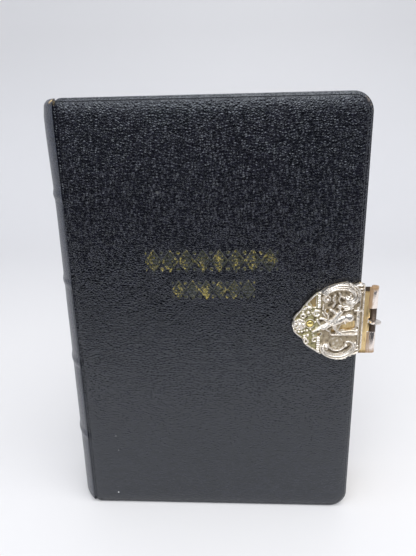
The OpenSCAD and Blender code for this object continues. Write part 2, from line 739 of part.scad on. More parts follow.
// Curved strap across the fore-edge, with the middle knuckle of the hinge at its back end
module bridge() {
    middle_h = barrel_gap - 2 * slide;
    hinge_y = book_t - barrel_y;
    color("#c4bfb2") placed() difference() {
        union() {
            intersection() {
                translate([bow_x, book_t / 2, clasp_z - middle_h / 2]) difference() {
                    cylinder(r = bow_r + bridge_t / 2, h = middle_h, $fn = 180);
                    translate([0, 0, -cut])
                        cylinder(r = bow_r - bridge_t / 2, h = middle_h + 2 * cut, $fn = 180);
                }
                translate([barrel_x + bridge_bow + bridge_t, 0, clasp_z]) rotate([0, -90, 0])
                    linear_extrude(2 * bridge_bow + 2 * bridge_t) bridge_outline(middle_h, hinge_y);
            }
            translate([barrel_x, hinge_y, clasp_z - middle_h / 2]) cylinder(r = barrel_r, h = middle_h);
        }
        translate([barrel_x, hinge_y, clasp_z - middle_h / 2 - cut])
            cylinder(r = pin_r - seat + pin_play, h = middle_h + 2 * cut);
        hook_rivet_holes();
    }
}

// Outline of the bridge: x runs down, y across the fore-edge; a little waisted above and below
module bridge_outline(middle_h, hinge_y) {
    difference() {
        translate([-middle_h / 2, bridge_y0]) square([middle_h, hinge_y - bridge_y0]);
        for (side = [-1, 1])
            translate([side * (middle_h / 2 + waist_r - waist_d), book_t / 2]) circle(r = waist_r, $fn = 120);
    }
}

// Holes of the two rivets that hold the hook to the bridge
module hook_rivet_holes() {
    for (z = hook_rivet_z) translate([bow_x, hook_rivet_y, z])
        rotate([0, 90, 0]) cylinder(r = hook_rivet_r + seat, h = 2 * bow_r);
}

// Distance of the bridge's curve from the spine's joint, at y, for a face of radius r
function bow_at(y, r) = bow_x + sqrt(r * r - pow(y - book_t / 2, 2));

// Middle line of the spring strip: along the bridge, then round the catch pin
spring_mid = hook_r + spring_t / 2;
spring_face = bow_r + bridge_t / 2 + seat + spring_t / 2;
spring_line = concat(
    [for (i = [0:6]) let (y = spring_y1 + (bridge_y0 + 1 - spring_y1) * i / 6) [bow_at(y, spring_face), y]],
    [for (a = [0:-15:-195]) [barrel_x + spring_mid * cos(a), barrel_y + spring_mid * sin(a)]],
    [[barrel_x - spring_mid - hook_end[0], barrel_y + hook_end[1]]]
);

function offset_point(line, i, d) = let (h = heading(line, i)) line[i] + d * [-h[1], h[0]];

// Half section of the thumb tab, a round lens that stands out over the catch
module tab_section() {
    polygon(concat(
        [[0, -tab_t / 2]],
        [for (k = [1:4]) [tab_r * k / 4, -tab_t / 2 + (tab_t / 2 - tab_rim) * pow(k / 4, 2)]],
        [for (k = [4:-1:1]) [tab_r * k / 4, tab_t / 2 - (tab_t / 2 - tab_rim) * pow(k / 4, 2)]],
        [[0, tab_t / 2]]
    ));
}

module snap_hook() {
    n = len(spring_line);
    color("#6e645a") placed() difference() {
        union() {
            translate([0, 0, clasp_z - hook_h / 2]) linear_extrude(hook_h) polygon(concat(
                [for (i = [0:n - 1]) offset_point(spring_line, i, spring_t / 2)],
                [for (i = [n - 1:-1:0]) offset_point(spring_line, i, -spring_t / 2)]
            ));
            // The thumb tab, cut off inside the roll of the strip
            difference() {
                translate([barrel_x, tab_y, clasp_z]) rotate_extrude() tab_section();
                translate([barrel_x, barrel_y, clasp_z - tab_t]) cylinder(r = spring_mid, h = 2 * tab_t);
            }
        }
        hook_rivet_holes();
    }
}

module hook_rivets() {
    x0 = bow_at(hook_rivet_y, bow_r - bridge_t / 2);
    head_z = bridge_t + spring_t + slide;
    color("#b9b2a2") placed() for (z = hook_rivet_z)
        translate([x0, hook_rivet_y, z]) rotate([0, 90, 0]) union() {
            cylinder(r = hook_rivet_r, h = head_z + hook_head_t / 2);
            translate([0, 0, head_z]) cylinder(r = hook_head_r, h = hook_head_t);
        }
}

text_block();
spine_lining();
raised_bands();
spine_leather();
headband();
tailband();
front_board();
front_leather();
front_pastedown();
front_clasp_plate();
front_ornament();
front_rivets();
gilt_rivet();
catch_barrel();
catch_pin();
back_board();
back_leather();
back_pastedown();
back_clasp_plate();
back_rivets();
hinge_pin();
bridge();
snap_hook();
hook_rivets();
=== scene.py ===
import random
from math import asin, atan2, cos, exp, hypot, pi, radians, sin

import bmesh
import bpy
import numpy as np
from bmesh import ops
from mathutils import Matrix, Vector, noise


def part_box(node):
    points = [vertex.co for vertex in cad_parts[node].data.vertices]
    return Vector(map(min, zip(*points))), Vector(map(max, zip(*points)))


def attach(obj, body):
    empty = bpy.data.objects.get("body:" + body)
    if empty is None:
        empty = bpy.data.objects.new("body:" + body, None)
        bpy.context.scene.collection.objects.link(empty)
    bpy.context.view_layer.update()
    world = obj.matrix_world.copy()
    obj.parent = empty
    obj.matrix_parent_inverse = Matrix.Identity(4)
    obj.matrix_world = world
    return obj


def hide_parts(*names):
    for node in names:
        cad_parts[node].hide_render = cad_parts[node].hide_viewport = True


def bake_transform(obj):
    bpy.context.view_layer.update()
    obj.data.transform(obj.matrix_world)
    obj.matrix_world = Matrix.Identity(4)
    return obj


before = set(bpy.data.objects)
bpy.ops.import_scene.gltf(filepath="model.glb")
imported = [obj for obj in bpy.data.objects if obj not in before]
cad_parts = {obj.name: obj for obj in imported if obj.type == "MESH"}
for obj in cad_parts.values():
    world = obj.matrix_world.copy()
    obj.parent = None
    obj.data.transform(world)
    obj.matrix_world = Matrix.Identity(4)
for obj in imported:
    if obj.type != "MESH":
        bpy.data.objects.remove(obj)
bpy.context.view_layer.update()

scene = bpy.context.scene

# Sizes of the binding, in millimetres, as the CAD part has them
BOOK_H = 167.0
COVER_W = 108.0
BOOK_T = 30.0
MID_Y = BOOK_T / 2
COVER_T = 3.3
COVER_X0 = 0.2
CORNER_R = 7.0
SPINE_CORNER_R = 2.5
EDGE_R = 1.2
INNER_EDGE_R = 0.5
TURN_T = 0.4
TURN_W = 11.0
JOINT_LAP = 4.0
# Width of the leather strip in the groove, and how far it lies below the covers' faces
JOINT_W = 1.7
JOINT_DEPTH = 0.55
SPINE_R = 19.571
SPINE_X = 12.571
SPINE_LEATHER_T = 0.8
LINING_T = 0.9
BAND_COUNT = 4
BAND_H = 0.4
BAND_W = 5.0
CAP_R = 2.2
ROLL_R = 0.8
PAGE_SQUARE = 2.5
PAGE_Y0 = 3.7
CLASP_Z = 86.0
BARREL_X = 113.2
BARREL_H = 26.5
# Where the ornament's tip begins, and the face of its ground
TIP_X = 91.0
GROUND_Y = -1.2

MM = 0.001
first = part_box("front_leather")[0]
# From book millimetres (x from the groove, y from the front face, z from the tail) to the frame
BOOK = Matrix.Translation((first.x - COVER_X0 * MM, first.y, 0)) @ Matrix.Scale(MM, 4)

# Cells of the leather's grain in a metre
GRAIN_CELLS = 1130.0
# How far the leather falls toward the cover's edge: the fall, its width from the edge, its power
EDGE_FALLS = ((0.2, 2.2, 1.5), (0.48, 5.5, 2))
# The crease inside the cover's edge: its distance from the edge, half its width, its depth
CREASE = (1.4, 0.38, 0.17)
# Tiny pale flecks on the front cover: x, z, radius and strength
FLECKS = ((10.6, 5.6, 0.42, 0.9), (11.6, 34.0, 0.3, 0.4), (12.2, 27.0, 0.28, 0.35), (34.3, 134.6, 0.8, 0.12))
# Rubbed places of the covers: x, z, radius and strength
FRONT_WEAR = (
    (104.9, 165.2, 0.9, 0.55), (105.9, 164.2, 1.0, 0.75), (106.9, 162.9, 1.0, 0.75), (107.4, 161.2, 0.9, 0.6),
    (107.6, 2.5, 1.0, 0.35),
)
BACK_WEAR = (
    (106.5, 164.5, 2.4, 0.9), (106.8, 2.2, 2.6, 0.9), (60.0, 90.0, 1.0, 0.5), (30.0, 40.0, 0.9, 0.5),
    (85.0, 130.0, 1.1, 0.45), (50.0, 0.6, 1.5, 0.5),
)
# Gilt rows on the front cover: left end, right end, middle height, half height and pitch
TOOLED_ROWS = ((28.5, 77.3, 109.4, 4.3, 6.1), (38.0, 69.0, 98.2, 3.7, 5.167))
# The swell of the spine toward the head: how far, from which height, over which height
SPINE_FLARE = (0.7, 125, 34)
# The bowl and the child's head on the ornament, from the fore-edge and the clasp's middle, with their radii
BOWL, BOWL_R = (-8.3, -8.2), (3.1, 2.5)
HEAD, HEAD_R = (-4.5, 1.9), (2.05, 1.85)
# The tallest relief, the grid that runs it together, and the voxels that the casting is made of
MAX_LIFT = 2.4
GRID_CELL, GRID_REACH, GRID_SHAPE, GRID_CORNER = 0.15, 4, (220, 240), (27, 18)
VOXEL = 0.000165
# Share that the gilt plate is filed back, toward this distance from the fore-edge
FILED_BACK, FILED_TO = 0.03, 11


def at(x, y, z):
    return BOOK @ Vector((x, y, z))


def ease(t):
    t = min(max(t, 0.0), 1.0)
    return t * t * (3 - 2 * t)


def uneven(a, b, scale, layer):
    return noise.noise(Vector((a * scale, b * scale, layer)))


def link_object(name, data):
    made = bpy.data.objects.new(name, data)
    scene.collection.objects.link(made)
    return made


def into_mesh(bm, name):
    mesh = bpy.data.meshes.new(name)
    bm.to_mesh(mesh)
    bm.free()
    return mesh


# Camera

def place_camera():
    """The photographer's view: the front cover square on, from a little above the book's middle."""
    yaw, pitch, roll = (radians(a) for a in (-3.38, 17.52, -1.31))
    ahead = Vector((sin(yaw) * cos(pitch), cos(yaw) * cos(pitch), -sin(pitch)))
    level = Vector((cos(yaw), -sin(yaw), 0))
    upward = level.cross(ahead)
    right = level * cos(roll) + upward * sin(roll)
    up = upward * cos(roll) - level * sin(roll)
    data = bpy.data.cameras.new("camera")
    data.sensor_width = 36
    # 500 pixels of a photo that is 556 high
    data.lens = 500 * 36 / 556
    camera = link_object("camera", data)
    turn = Matrix((right, up, -ahead)).transposed().to_4x4()
    camera.matrix_world = Matrix.Translation(at(62.0, -176.6, 158.7)) @ turn
    scene.camera = camera


# Shader building

class Shop:
    """A node tree with a short way to add nodes and set or join their sockets."""

    def __init__(self, tree):
        self.tree = tree

    def add(self, kind, sockets=None, **settings):
        node = self.tree.nodes.new("ShaderNode" + kind)
        for key, value in settings.items():
            setattr(node, key, value)
        for key, value in (sockets or {}).items():
            self.feed(node.inputs[key], value)
        return node

    def feed(self, socket, value):
        """Joins a socket to another one, or sets its value."""
        if isinstance(value, bpy.types.NodeSocket):
            self.tree.links.new(value, socket)
        else:
            socket.default_value = value

    def sum(self, how, *values, clamp=False):
        node = self.add("Math", dict(enumerate(values)), operation=how, use_clamp=clamp)
        return node.outputs[0]

    def scaled(self, value, by, plus=None):
        """The value times another, with a third one added where it is given."""
        if plus is None:
            return self.sum("MULTIPLY", value, by)
        return self.sum("MULTIPLY_ADD", value, by, plus)

    def plus(self, a, b):
        return self.sum("ADD", a, b)

    def minus(self, a, b):
        return self.sum("SUBTRACT", a, b)

    def vector(self, how, a, b):
        node = self.add("VectorMath", {0: a, 1: b}, operation=how)
        return node.outputs["Value" if how in ("DISTANCE", "DOT_PRODUCT") else "Vector"]

    def axes(self, vector):
        return self.add("SeparateXYZ", {0: vector}).outputs

    def bump(self, height, distance):
        node = self.add("Bump", {"Height": height, "Distance": distance, "Strength": 1.0})
        return node.outputs[0]

    def ramp(self, value, low, high, to_low=0.0, to_high=1.0):
        node = self.add(
            "MapRange",
            {"Value": value, "From Min": low, "From Max": high, "To Min": to_low, "To Max": to_high},
            interpolation_type="SMOOTHSTEP",
        )
        return node.outputs["Result"]

    def blend(self, share, a, b):
        return self.add("Mix", {0: share, 6: a, 7: b}, data_type="RGBA").outputs[2]

    def noise(self, vector, scale, detail=2.0, roughness=0.5):
        node = self.add(
            "TexNoise",
            {"Vector": vector, "Scale": scale, "Detail": detail, "Roughness": roughness},
        )
        return node.outputs["Fac"]

    def stretched(self, vector, scale):
        return self.add("Mapping", {"Vector": vector, "Scale": scale}).outputs[0]


def rgb(r, g, b):
    return (r, g, b, 1.0)


def group_tree(name, inputs, outputs):
    """A shader node group with named sockets; returns it with its inner input and output nodes."""
    tree = bpy.data.node_groups.new(name, "ShaderNodeTree")
    for socket, kind, default in inputs:
        made = tree.interface.new_socket(socket, in_out="INPUT", socket_type="NodeSocket" + kind)
        if default is not None:
            made.default_value = default
    for socket, kind in outputs:
        tree.interface.new_socket(socket, in_out="OUTPUT", socket_type="NodeSocket" + kind)
    return tree, tree.nodes.new("NodeGroupInput"), tree.nodes.new("NodeGroupOutput")


def join(shop, node, **sockets):
    for key, value in sockets.items():
        shop.feed(node.inputs[key.replace("_", " ")], value)


def make_grain_group():
    """Pebbled goatskin: flat pebbles that lie a little askew between fine creases."""
    tree, given, out = group_tree(
        "pebble_grain",
        [
            ("Vector", "Vector", None),
            ("Cells", "Float", GRAIN_CELLS),
            ("Tilt", "Float", 0.5),
            ("Flatness", "Float", 0.0),
        ],
        [("Height", "Float"), ("Crease", "Float"), ("Shade", "Float")],
    )
    shop = Shop(tree)
    place = given.outputs["Vector"]
    wobble = shop.add("TexNoise", {"Vector": place, "Scale": 420.0, "Detail": 2.0})
    shift = shop.vector("MULTIPLY", wobble.outputs["Color"], (0.0005, 0.0005, 0.0005))
    moved = shop.vector("ADD", place, shift)
    cells = {"Vector": moved, "Scale": given.outputs["Cells"], "Randomness": 0.88}
    edge = shop.add("TexVoronoi", cells, feature="DISTANCE_TO_EDGE").outputs["Distance"]
    pebble = shop.add("TexVoronoi", cells, feature="F1")
    # Each pebble's own slope, as a height in millimetres
    away = shop.vector("SUBTRACT", moved, pebble.outputs["Position"])
    lean = shop.vector("SUBTRACT", pebble.outputs["Color"], (0.5, 0.5, 0.5))
    slope = shop.vector("DOT_PRODUCT", away, lean)
    slope = shop.scaled(slope, shop.scaled(given.outputs["Tilt"], 1000.0))
    dome = shop.scaled(shop.ramp(edge, 0.0, 0.42), 0.088)
    broad = shop.scaled(shop.noise(place, 230.0, 2.0), 0.018)
    fine = shop.scaled(shop.noise(place, 2600.0, 2.0), 0.011)
    height = shop.plus(shop.plus(slope, dome), shop.plus(broad, fine))
    keep = shop.minus(1.0, given.outputs["Flatness"])
    shade = shop.add("SeparateColor", {0: pebble.outputs["Color"]}).outputs[1]
    join(shop, out, Height=shop.scaled(height, keep), Crease=shop.ramp(edge, 0.12, 0.0), Shade=shade)
    return tree


def make_tooling_group():
    """Two rows of gilt tooling, common lozenges and quatrefoils, as a mask on the front cover."""
    tree, given, out = group_tree(
        "tooled_rows", [("Vector", "Vector", None)], [("Mask", "Float")]
    )
    shop = Shop(tree)
    x, _, z = shop.axes(given.outputs["Vector"])

    def spot(a, b, outer, inner):
        du, dv = shop.minus(u, a), shop.minus(v, b)
        away = shop.sum("SQRT", shop.plus(shop.scaled(du, du), shop.scaled(dv, dv)))
        return shop.ramp(away, outer, inner)

    rows = []
    for x0, x1, mid, half, pitch in TOOLED_ROWS:
        left, right, middle = at(x0, 0, mid).x, at(x1, 0, mid).x, mid * MM
        along = shop.sum("DIVIDE", shop.minus(x, left), pitch * MM)
        cell = shop.minus(shop.sum("FRACT", along), 0.5)
        u = shop.scaled(shop.sum("ABSOLUTE", cell), pitch)
        v = shop.scaled(shop.sum("ABSOLUTE", shop.minus(z, middle)), 1000.0)
        # Lozenge outline, and a fainter fill
        edge = shop.plus(shop.sum("DIVIDE", u, pitch * 0.5), shop.sum("DIVIDE", v, half))
        ring = shop.sum("ABSOLUTE", shop.minus(edge, 0.9))
        shape = shop.ramp(ring, 0.22, 0.07)
        shape = shop.sum("MAXIMUM", shape, shop.scaled(shop.ramp(edge, 0.95, 0.8), 0.3))
        # Quatrefoil inside it, and small leaves in the corners between the lozenges
        for a, b, outer, inner in (
            (0.0, half * 0.34, 0.87, 0.57), (pitch * 0.14, 0.0, 0.87, 0.57),
            (pitch * 0.5, half * 0.72, 0.85, 0.55),
        ):
            shape = shop.sum("MAXIMUM", shape, spot(a, b, outer, inner))
        inside = shop.scaled(shop.sum("GREATER_THAN", x, left), shop.sum("LESS_THAN", x, right))
        inside = shop.scaled(inside, shop.sum("LESS_THAN", v, half + 0.3))
        rows.append(shop.scaled(shape, inside))
    join(shop, out, Mask=shop.sum("ADD", *rows, clamp=True))
    return tree


def make_tarnish_group():
    """Worn metal: tarnish in the hollows and in soft patches, bright on what stands out; the Hollow input
    also carries the painted shade that a part's darkening gives.
    """
    tree, given, out = group_tree(
        "tarnish",
        [
            ("Vector", "Vector", None),
            ("Hollow", "Float", 0.0),
            ("Bright", "Color", rgb(0.8, 0.78, 0.74)),
            ("Dull", "Color", rgb(0.2, 0.16, 0.12)),
            ("Deep", "Color", rgb(0.06, 0.045, 0.03)),
            ("Patches", "Float", 0.7),
            ("Gloss", "Float", 0.25),
        ],
        [
            ("Color", "Color"), ("Roughness", "Float"), ("Metallic", "Float"),
            ("Height", "Float"),
        ],
    )
    shop = Shop(tree)
    place = given.outputs["Vector"]
    patch = shop.noise(place, 340.0, 3.0, 0.6)
    fine = shop.noise(place, 1900.0, 2.0)
    uneven = shop.scaled(fine, 0.5, shop.minus(patch, 0.75))
    depth = shop.scaled(uneven, given.outputs["Patches"], given.outputs["Hollow"])
    dull = shop.ramp(depth, 0.05, 0.5)
    deep = shop.ramp(depth, 0.55, 1.05)
    color = shop.blend(dull, given.outputs["Bright"], given.outputs["Dull"])
    color = shop.blend(deep, color, given.outputs["Deep"])
    rough = shop.scaled(dull, 0.3, given.outputs["Gloss"])
    rough = shop.scaled(shop.minus(fine, 0.5), 0.15, rough)
    metallic = shop.ramp(dull, 0.0, 1.0, 0.95, 0.3)
    join(shop, out, Color=color, Roughness=rough, Metallic=metallic, Height=shop.scaled(fine, 0.5, patch))
    return tree


def empty_shop(owner):
    """A Shop for the cleared node tree of a material or of the world."""
    owner.use_nodes = True
    owner.node_tree.nodes.clear()
    return Shop(owner.node_tree)


def new_material(name):
    material = bpy.data.materials.new(name)
    shop = empty_shop(material)
    surface = shop.add("BsdfPrincipled")
    shop.add("OutputMaterial", {"Surface": surface.outputs[0]})
    place = shop.add("TexCoord").outputs["Object"]
    return material, shop, surface, place


def attribute(shop, name):
    return shop.add("Attribute", attribute_name=name, attribute_type="GEOMETRY").outputs["Fac"]


def leather_material(
    name, tilt=0.08, gloss=0.11, tint=(0.0080, 0.0080, 0.0125), tooled=False, creased=False, flat=0.0,
):
    """Black goatskin with its grain, and painted shade darkening the grain's creases; worn brown and grey
    where the wear attribute says so.
    """
    material, shop, surface, place = new_material(name)
    sockets = {"Vector": place, "Cells": GRAIN_CELLS, "Tilt": tilt, "Flatness": flat}
    grain = shop.add("Group", sockets, node_tree=GRAIN)
    height = grain.outputs["Height"]
    crease = grain.outputs["Crease"]
    tone = shop.noise(place, 55.0, 3.0)
    shade = shop.scaled(tone, 0.5, shop.scaled(grain.outputs["Shade"], 1.0, -0.25))
    color = shop.blend(shade, rgb(*[c * 0.4 for c in tint]), rgb(*[c * 1.6 for c in tint]))
    # Painted shade: the base colour is darkened toward near black in the grain's creases
    color = shop.blend(shop.scaled(crease, 0.7), color, rgb(0.002, 0.002, 0.003))
    rough = shop.scaled(shop.minus(tone, 0.5), 0.1, gloss)
    rough = shop.scaled(crease, 0.1, rough)
    worn = attribute(shop, "wear")
    ragged = shop.noise(place, 900.0, 3.0, 0.65)
    wear = shop.ramp(shop.scaled(shop.minus(ragged, 0.5), 0.9, worn), 0.42, 0.72)
    raw = shop.blend(shop.noise(place, 350.0, 2.0), rgb(0.09, 0.062, 0.042), rgb(0.21, 0.16, 0.11))
    color = shop.blend(wear, color, shop.blend(shop.ramp(worn, 0.8, 0.95), raw, rgb(0.62, 0.46, 0.22)))
    rough = shop.scaled(wear, 0.3, rough)
    if tooled:
        mask = shop.add("Group", {"Vector": place}, node_tree=TOOLING).outputs["Mask"]
        left = shop.noise(place, 210.0, 2.0, 0.5)
        speck = shop.noise(place, 1300.0, 2.0, 0.6)
        held = shop.scaled(speck, 0.9, shop.scaled(left, 0.9))
        held = shop.scaled(crease, -0.25, held)
        gilt = shop.scaled(shop.ramp(held, 0.92, 1.12), mask)
        darkening = shop.scaled(shop.ramp(held, 0.55, 0.9, 0.25, 0.9), mask)
        color = shop.blend(darkening, color, rgb(0.034, 0.035, 0.014))
        color = shop.blend(gilt, color, rgb(0.60, 0.48, 0.13))
        for x, z, size, strength in FLECKS:
            away = shop.vector("DISTANCE", place, at(x, 0, z))
            fleck = shop.ramp(away, size * MM, size * 0.5 * MM, 0.0, strength)
            color = shop.blend(fleck, color, rgb(0.6, 0.6, 0.58))
        join(shop, surface, Metallic=shop.scaled(gilt, 0.85))
        height = shop.scaled(mask, -0.11, height)
    if creased:
        inset, half, depth = CREASE
        off = shop.sum("ABSOLUTE", shop.minus(attribute(shop, "rim"), inset))
        height = shop.scaled(shop.ramp(off, half, 0.0), -depth, height)
    join(shop, surface, Base_Color=color, Roughness=rough, Normal=shop.bump(height, MM))
    join(shop, surface, Specular_IOR_Level=0.75, Specular_Tint=rgb(0.90, 0.95, 1.0))
    return material


def metal_material(name, bright, dull, deep, patches, gloss, drawn=False, olive=None):
    """Silvered or gilt metal, worn and tarnished; drawn out along z, or olive toward the tip, where asked."""
    material, shop, surface, place = new_material(name)
    vector = shop.stretched(place, (1.5, 1.5, 0.2)) if drawn else place
    tarnish = rgb(*dull)
    if olive:
        tip = shop.ramp(shop.axes(place)[0], at(TIP_X + 4, 0, 0).x, at(TIP_X, 0, 0).x)
        tarnish = shop.blend(tip, tarnish, rgb(*olive))
    sockets = {
        "Vector": vector, "Hollow": attribute(shop, "hollow"), "Bright": rgb(*bright), "Dull": tarnish,
        "Deep": rgb(*deep), "Patches": patches, "Gloss": gloss,
    }
    worn = shop.add("Group", sockets, node_tree=TARNISH).outputs
    bump = shop.bump(worn["Height"], 0.00004)
    join(
        shop, surface, Base_Color=worn["Color"], Roughness=worn["Roughness"], Metallic=worn["Metallic"],
        Normal=bump,
    )
    return material


def page_material():
    """Edges of the leaves: fine lines across the thickness, browned and dusty."""
    material, shop, surface, place = new_material("aged_leaves")
    leaf = shop.noise(shop.stretched(place, (0.03, 1.0, 0.03)), 5200.0, 2.0, 0.7)
    bundle = shop.noise(shop.stretched(place, (0.02, 1.0, 0.02)), 900.0, 2.0)
    darkening = shop.noise(place, 45.0, 4.0, 0.6)
    color = shop.blend(leaf, rgb(0.30, 0.22, 0.13), rgb(0.66, 0.56, 0.40))
    color = shop.blend(shop.ramp(bundle, 0.35, 0.7), rgb(0.42, 0.33, 0.20), color)
    color = shop.blend(shop.ramp(darkening, 0.5, 0.85, 0.0, 0.55), color, rgb(0.30, 0.20, 0.10))
    bump = shop.bump(shop.scaled(leaf, 0.6, bundle), 0.00012)
    join(shop, surface, Base_Color=color, Roughness=0.8, Normal=bump)
    return material


def endpaper_material():
    """Plain endpaper, foxed and browned toward its edges."""
    material, shop, surface, place = new_material("foxed_endpaper")
    fibre = shop.noise(place, 1800.0, 3.0, 0.7)
    cloud = shop.noise(place, 30.0, 4.0, 0.6)
    cells = shop.add("TexVoronoi", {"Vector": place, "Scale": 130.0}, feature="F1")
    spots = shop.ramp(cells.outputs["Distance"], 0.22, 0.05)
    fox = shop.scaled(spots, shop.ramp(shop.noise(place, 60.0, 2.0), 0.5, 0.7))
    color = shop.blend(cloud, rgb(0.50, 0.40, 0.25), rgb(0.70, 0.61, 0.45))
    color = shop.blend(shop.scaled(fox, 0.6), color, rgb(0.33, 0.19, 0.08))
    bump = shop.bump(fibre, 0.00003)
    join(shop, surface, Base_Color=color, Roughness=0.75, Normal=bump)
    return material


def board_material(name, dark, light):
    """Pasteboard and glued lining, under the leather."""
    material, shop, surface, place = new_material(name)
    fibre = shop.noise(shop.stretched(place, (0.3, 1.0, 0.3)), 1500.0, 3.0, 0.7)
    bump = shop.bump(fibre, 0.00005)
    color = shop.blend(fibre, rgb(*dark), rgb(*light))
    join(shop, surface, Base_Color=color, Roughness=0.85, Normal=bump)
    return material


def thread_material():
    """Sewn silk of the head and tail bands, in two faded colours."""
    material, shop, surface, place = new_material("band_silk")
    turn = attribute(shop, "turn")
    strand = shop.noise(place, 4000.0, 2.0)
    color = shop.blend(shop.sum("GREATER_THAN", turn, 0.5), rgb(0.52, 0.42, 0.25), rgb(0.24, 0.085, 0.05))
    color = shop.blend(shop.scaled(strand, 0.5), color, rgb(0.10, 0.07, 0.04))
    bump = shop.bump(strand, 0.00004)
    join(shop, surface, Base_Color=color, Roughness=0.6, Normal=bump, Sheen_Weight=0.3)
    return material


GRAIN = make_grain_group()
TOOLING = make_tooling_group()
TARNISH = make_tarnish_group()


# Piece making

def shaped(name, bm, body, material, stands_for=(), sharp=40.0):
    """Makes a finished piece from a bmesh in the frame; it rides on its body, if one is given."""
    mesh = into_mesh(bm, name)
    mesh.shade_smooth()
    mesh.set_sharp_from_angle(angle=radians(sharp))
    mesh.materials.append(material)
    piece = link_object(name, mesh)
    if body:
        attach(piece, body)
    if stands_for:
        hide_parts(*stands_for)
    return piece


def from_cad(node, flat=1.0):
    """A bmesh with a CAD node's shape, its loose triangles merged and its flat faces joined."""
    bm = bmesh.new()
    bm.from_mesh(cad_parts[node].data)
    ops.remove_doubles(bm, verts=bm.verts, dist=2e-6)
    if flat:
        ops.dissolve_limit(bm, angle_limit=radians(flat), verts=bm.verts, edges=bm.edges)
    return bm


def coat(node, material):
    """Gives a CAD node that keeps its shape its material."""
    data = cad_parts[node].data
    data.materials.clear()
    data.materials.append(material)


def round_edges(bm, edges, width, segments, clamped=False):
    ops.bevel(
        bm, geom=edges, offset=width, offset_type="OFFSET", segments=segments, profile=0.5, affect="EDGES",
        clamp_overlap=clamped, material=-1,
    )


def soften(bm, width):
    """Rounds the sharp edges of a metal piece a little."""
    limit = radians(35)
    edges = [e for e in bm.edges if len(e.link_faces) == 2 and e.calc_face_angle(0) > limit]
    round_edges(bm, edges, width * MM, 2, clamped=True)


def scale_and_move(bm, scale, move):
    ops.scale(bm, vec=scale, verts=bm.verts)
    ops.translate(bm, vec=move, verts=bm.verts)


def to_back(bm):
    """Turns a shape made for the front cover into one for the back cover."""
    scale_and_move(bm, (1, -1, 1), (0, BOOK_T, 0))
    ops.reverse_faces(bm, faces=bm.faces)


def new_verts(made):
    return [g for g in made["geom"] if isinstance(g, bmesh.types.BMVert)]


def close_holes(bm):
    ops.holes_fill(bm, edges=[e for e in bm.edges if e.is_boundary], sides=0)


def cut_faces(bm, chosen, direction, places):
    """Cuts the faces that chosen() picks by planes at the given places along a direction."""
    for p in places:
        faces = [f for f in bm.faces if chosen(f)]
        geom = list({v for f in faces for v in f.verts}) + list({e for f in faces for e in f.edges}) + faces
        ops.bisect_plane(bm, geom=geom, dist=1e-5, plane_co=Vector(direction) * p, plane_no=direction)


def mark(mesh, name, values):
    made = mesh.attributes.new(name, "FLOAT", "POINT")
    made.data.foreach_set("value", np.asarray(values, np.float32))


def hollow_depth(mesh, rounds, full):
    """How far each point lies below its surroundings, for the tarnish."""
    count = len(mesh.vertices)
    co = np.empty(count * 3)
    mesh.vertices.foreach_get("co", co)
    co = co.reshape(-1, 3)
    normal = np.array([v.normal for v in mesh.vertices])
    ends = np.empty(len(mesh.edges) * 2, np.int64)
    mesh.edges.foreach_get("vertices", ends)
    ends = ends.reshape(-1, 2)
    a = np.concatenate([ends[:, 0], ends[:, 1]])
    b = np.concatenate([ends[:, 1], ends[:, 0]])
    near = np.maximum(np.bincount(a, minlength=count), 1)[:, None]
    soft = co.copy()
    for _ in range(rounds):
        total = np.stack([np.bincount(a, weights=soft[b, k], minlength=count) for k in range(3)], axis=1)
        soft = 0.4 * soft + 0.6 * total / near
    return np.clip(((soft - co) * normal).sum(1) / (full * MM), -1, 1).astype(np.float32)


# Leather

def outline_depth(x, z):
    """How far a point of a cover lies inside the cover's outline, in millimetres."""
    dx = COVER_W - x
    dz = min(z, BOOK_H - z)
    if dx < CORNER_R and dz < CORNER_R:
        return CORNER_R - hypot(CORNER_R - dx, CORNER_R - dz)
    return min(dx, dz)


def wear_at(x, z, spots):
    worn = 0.0
    for sx, sz, r, strength in spots:
        worn = max(worn, strength * exp(-((x - sx) ** 2 + (z - sz) ** 2) / (r * r)))
    return worn


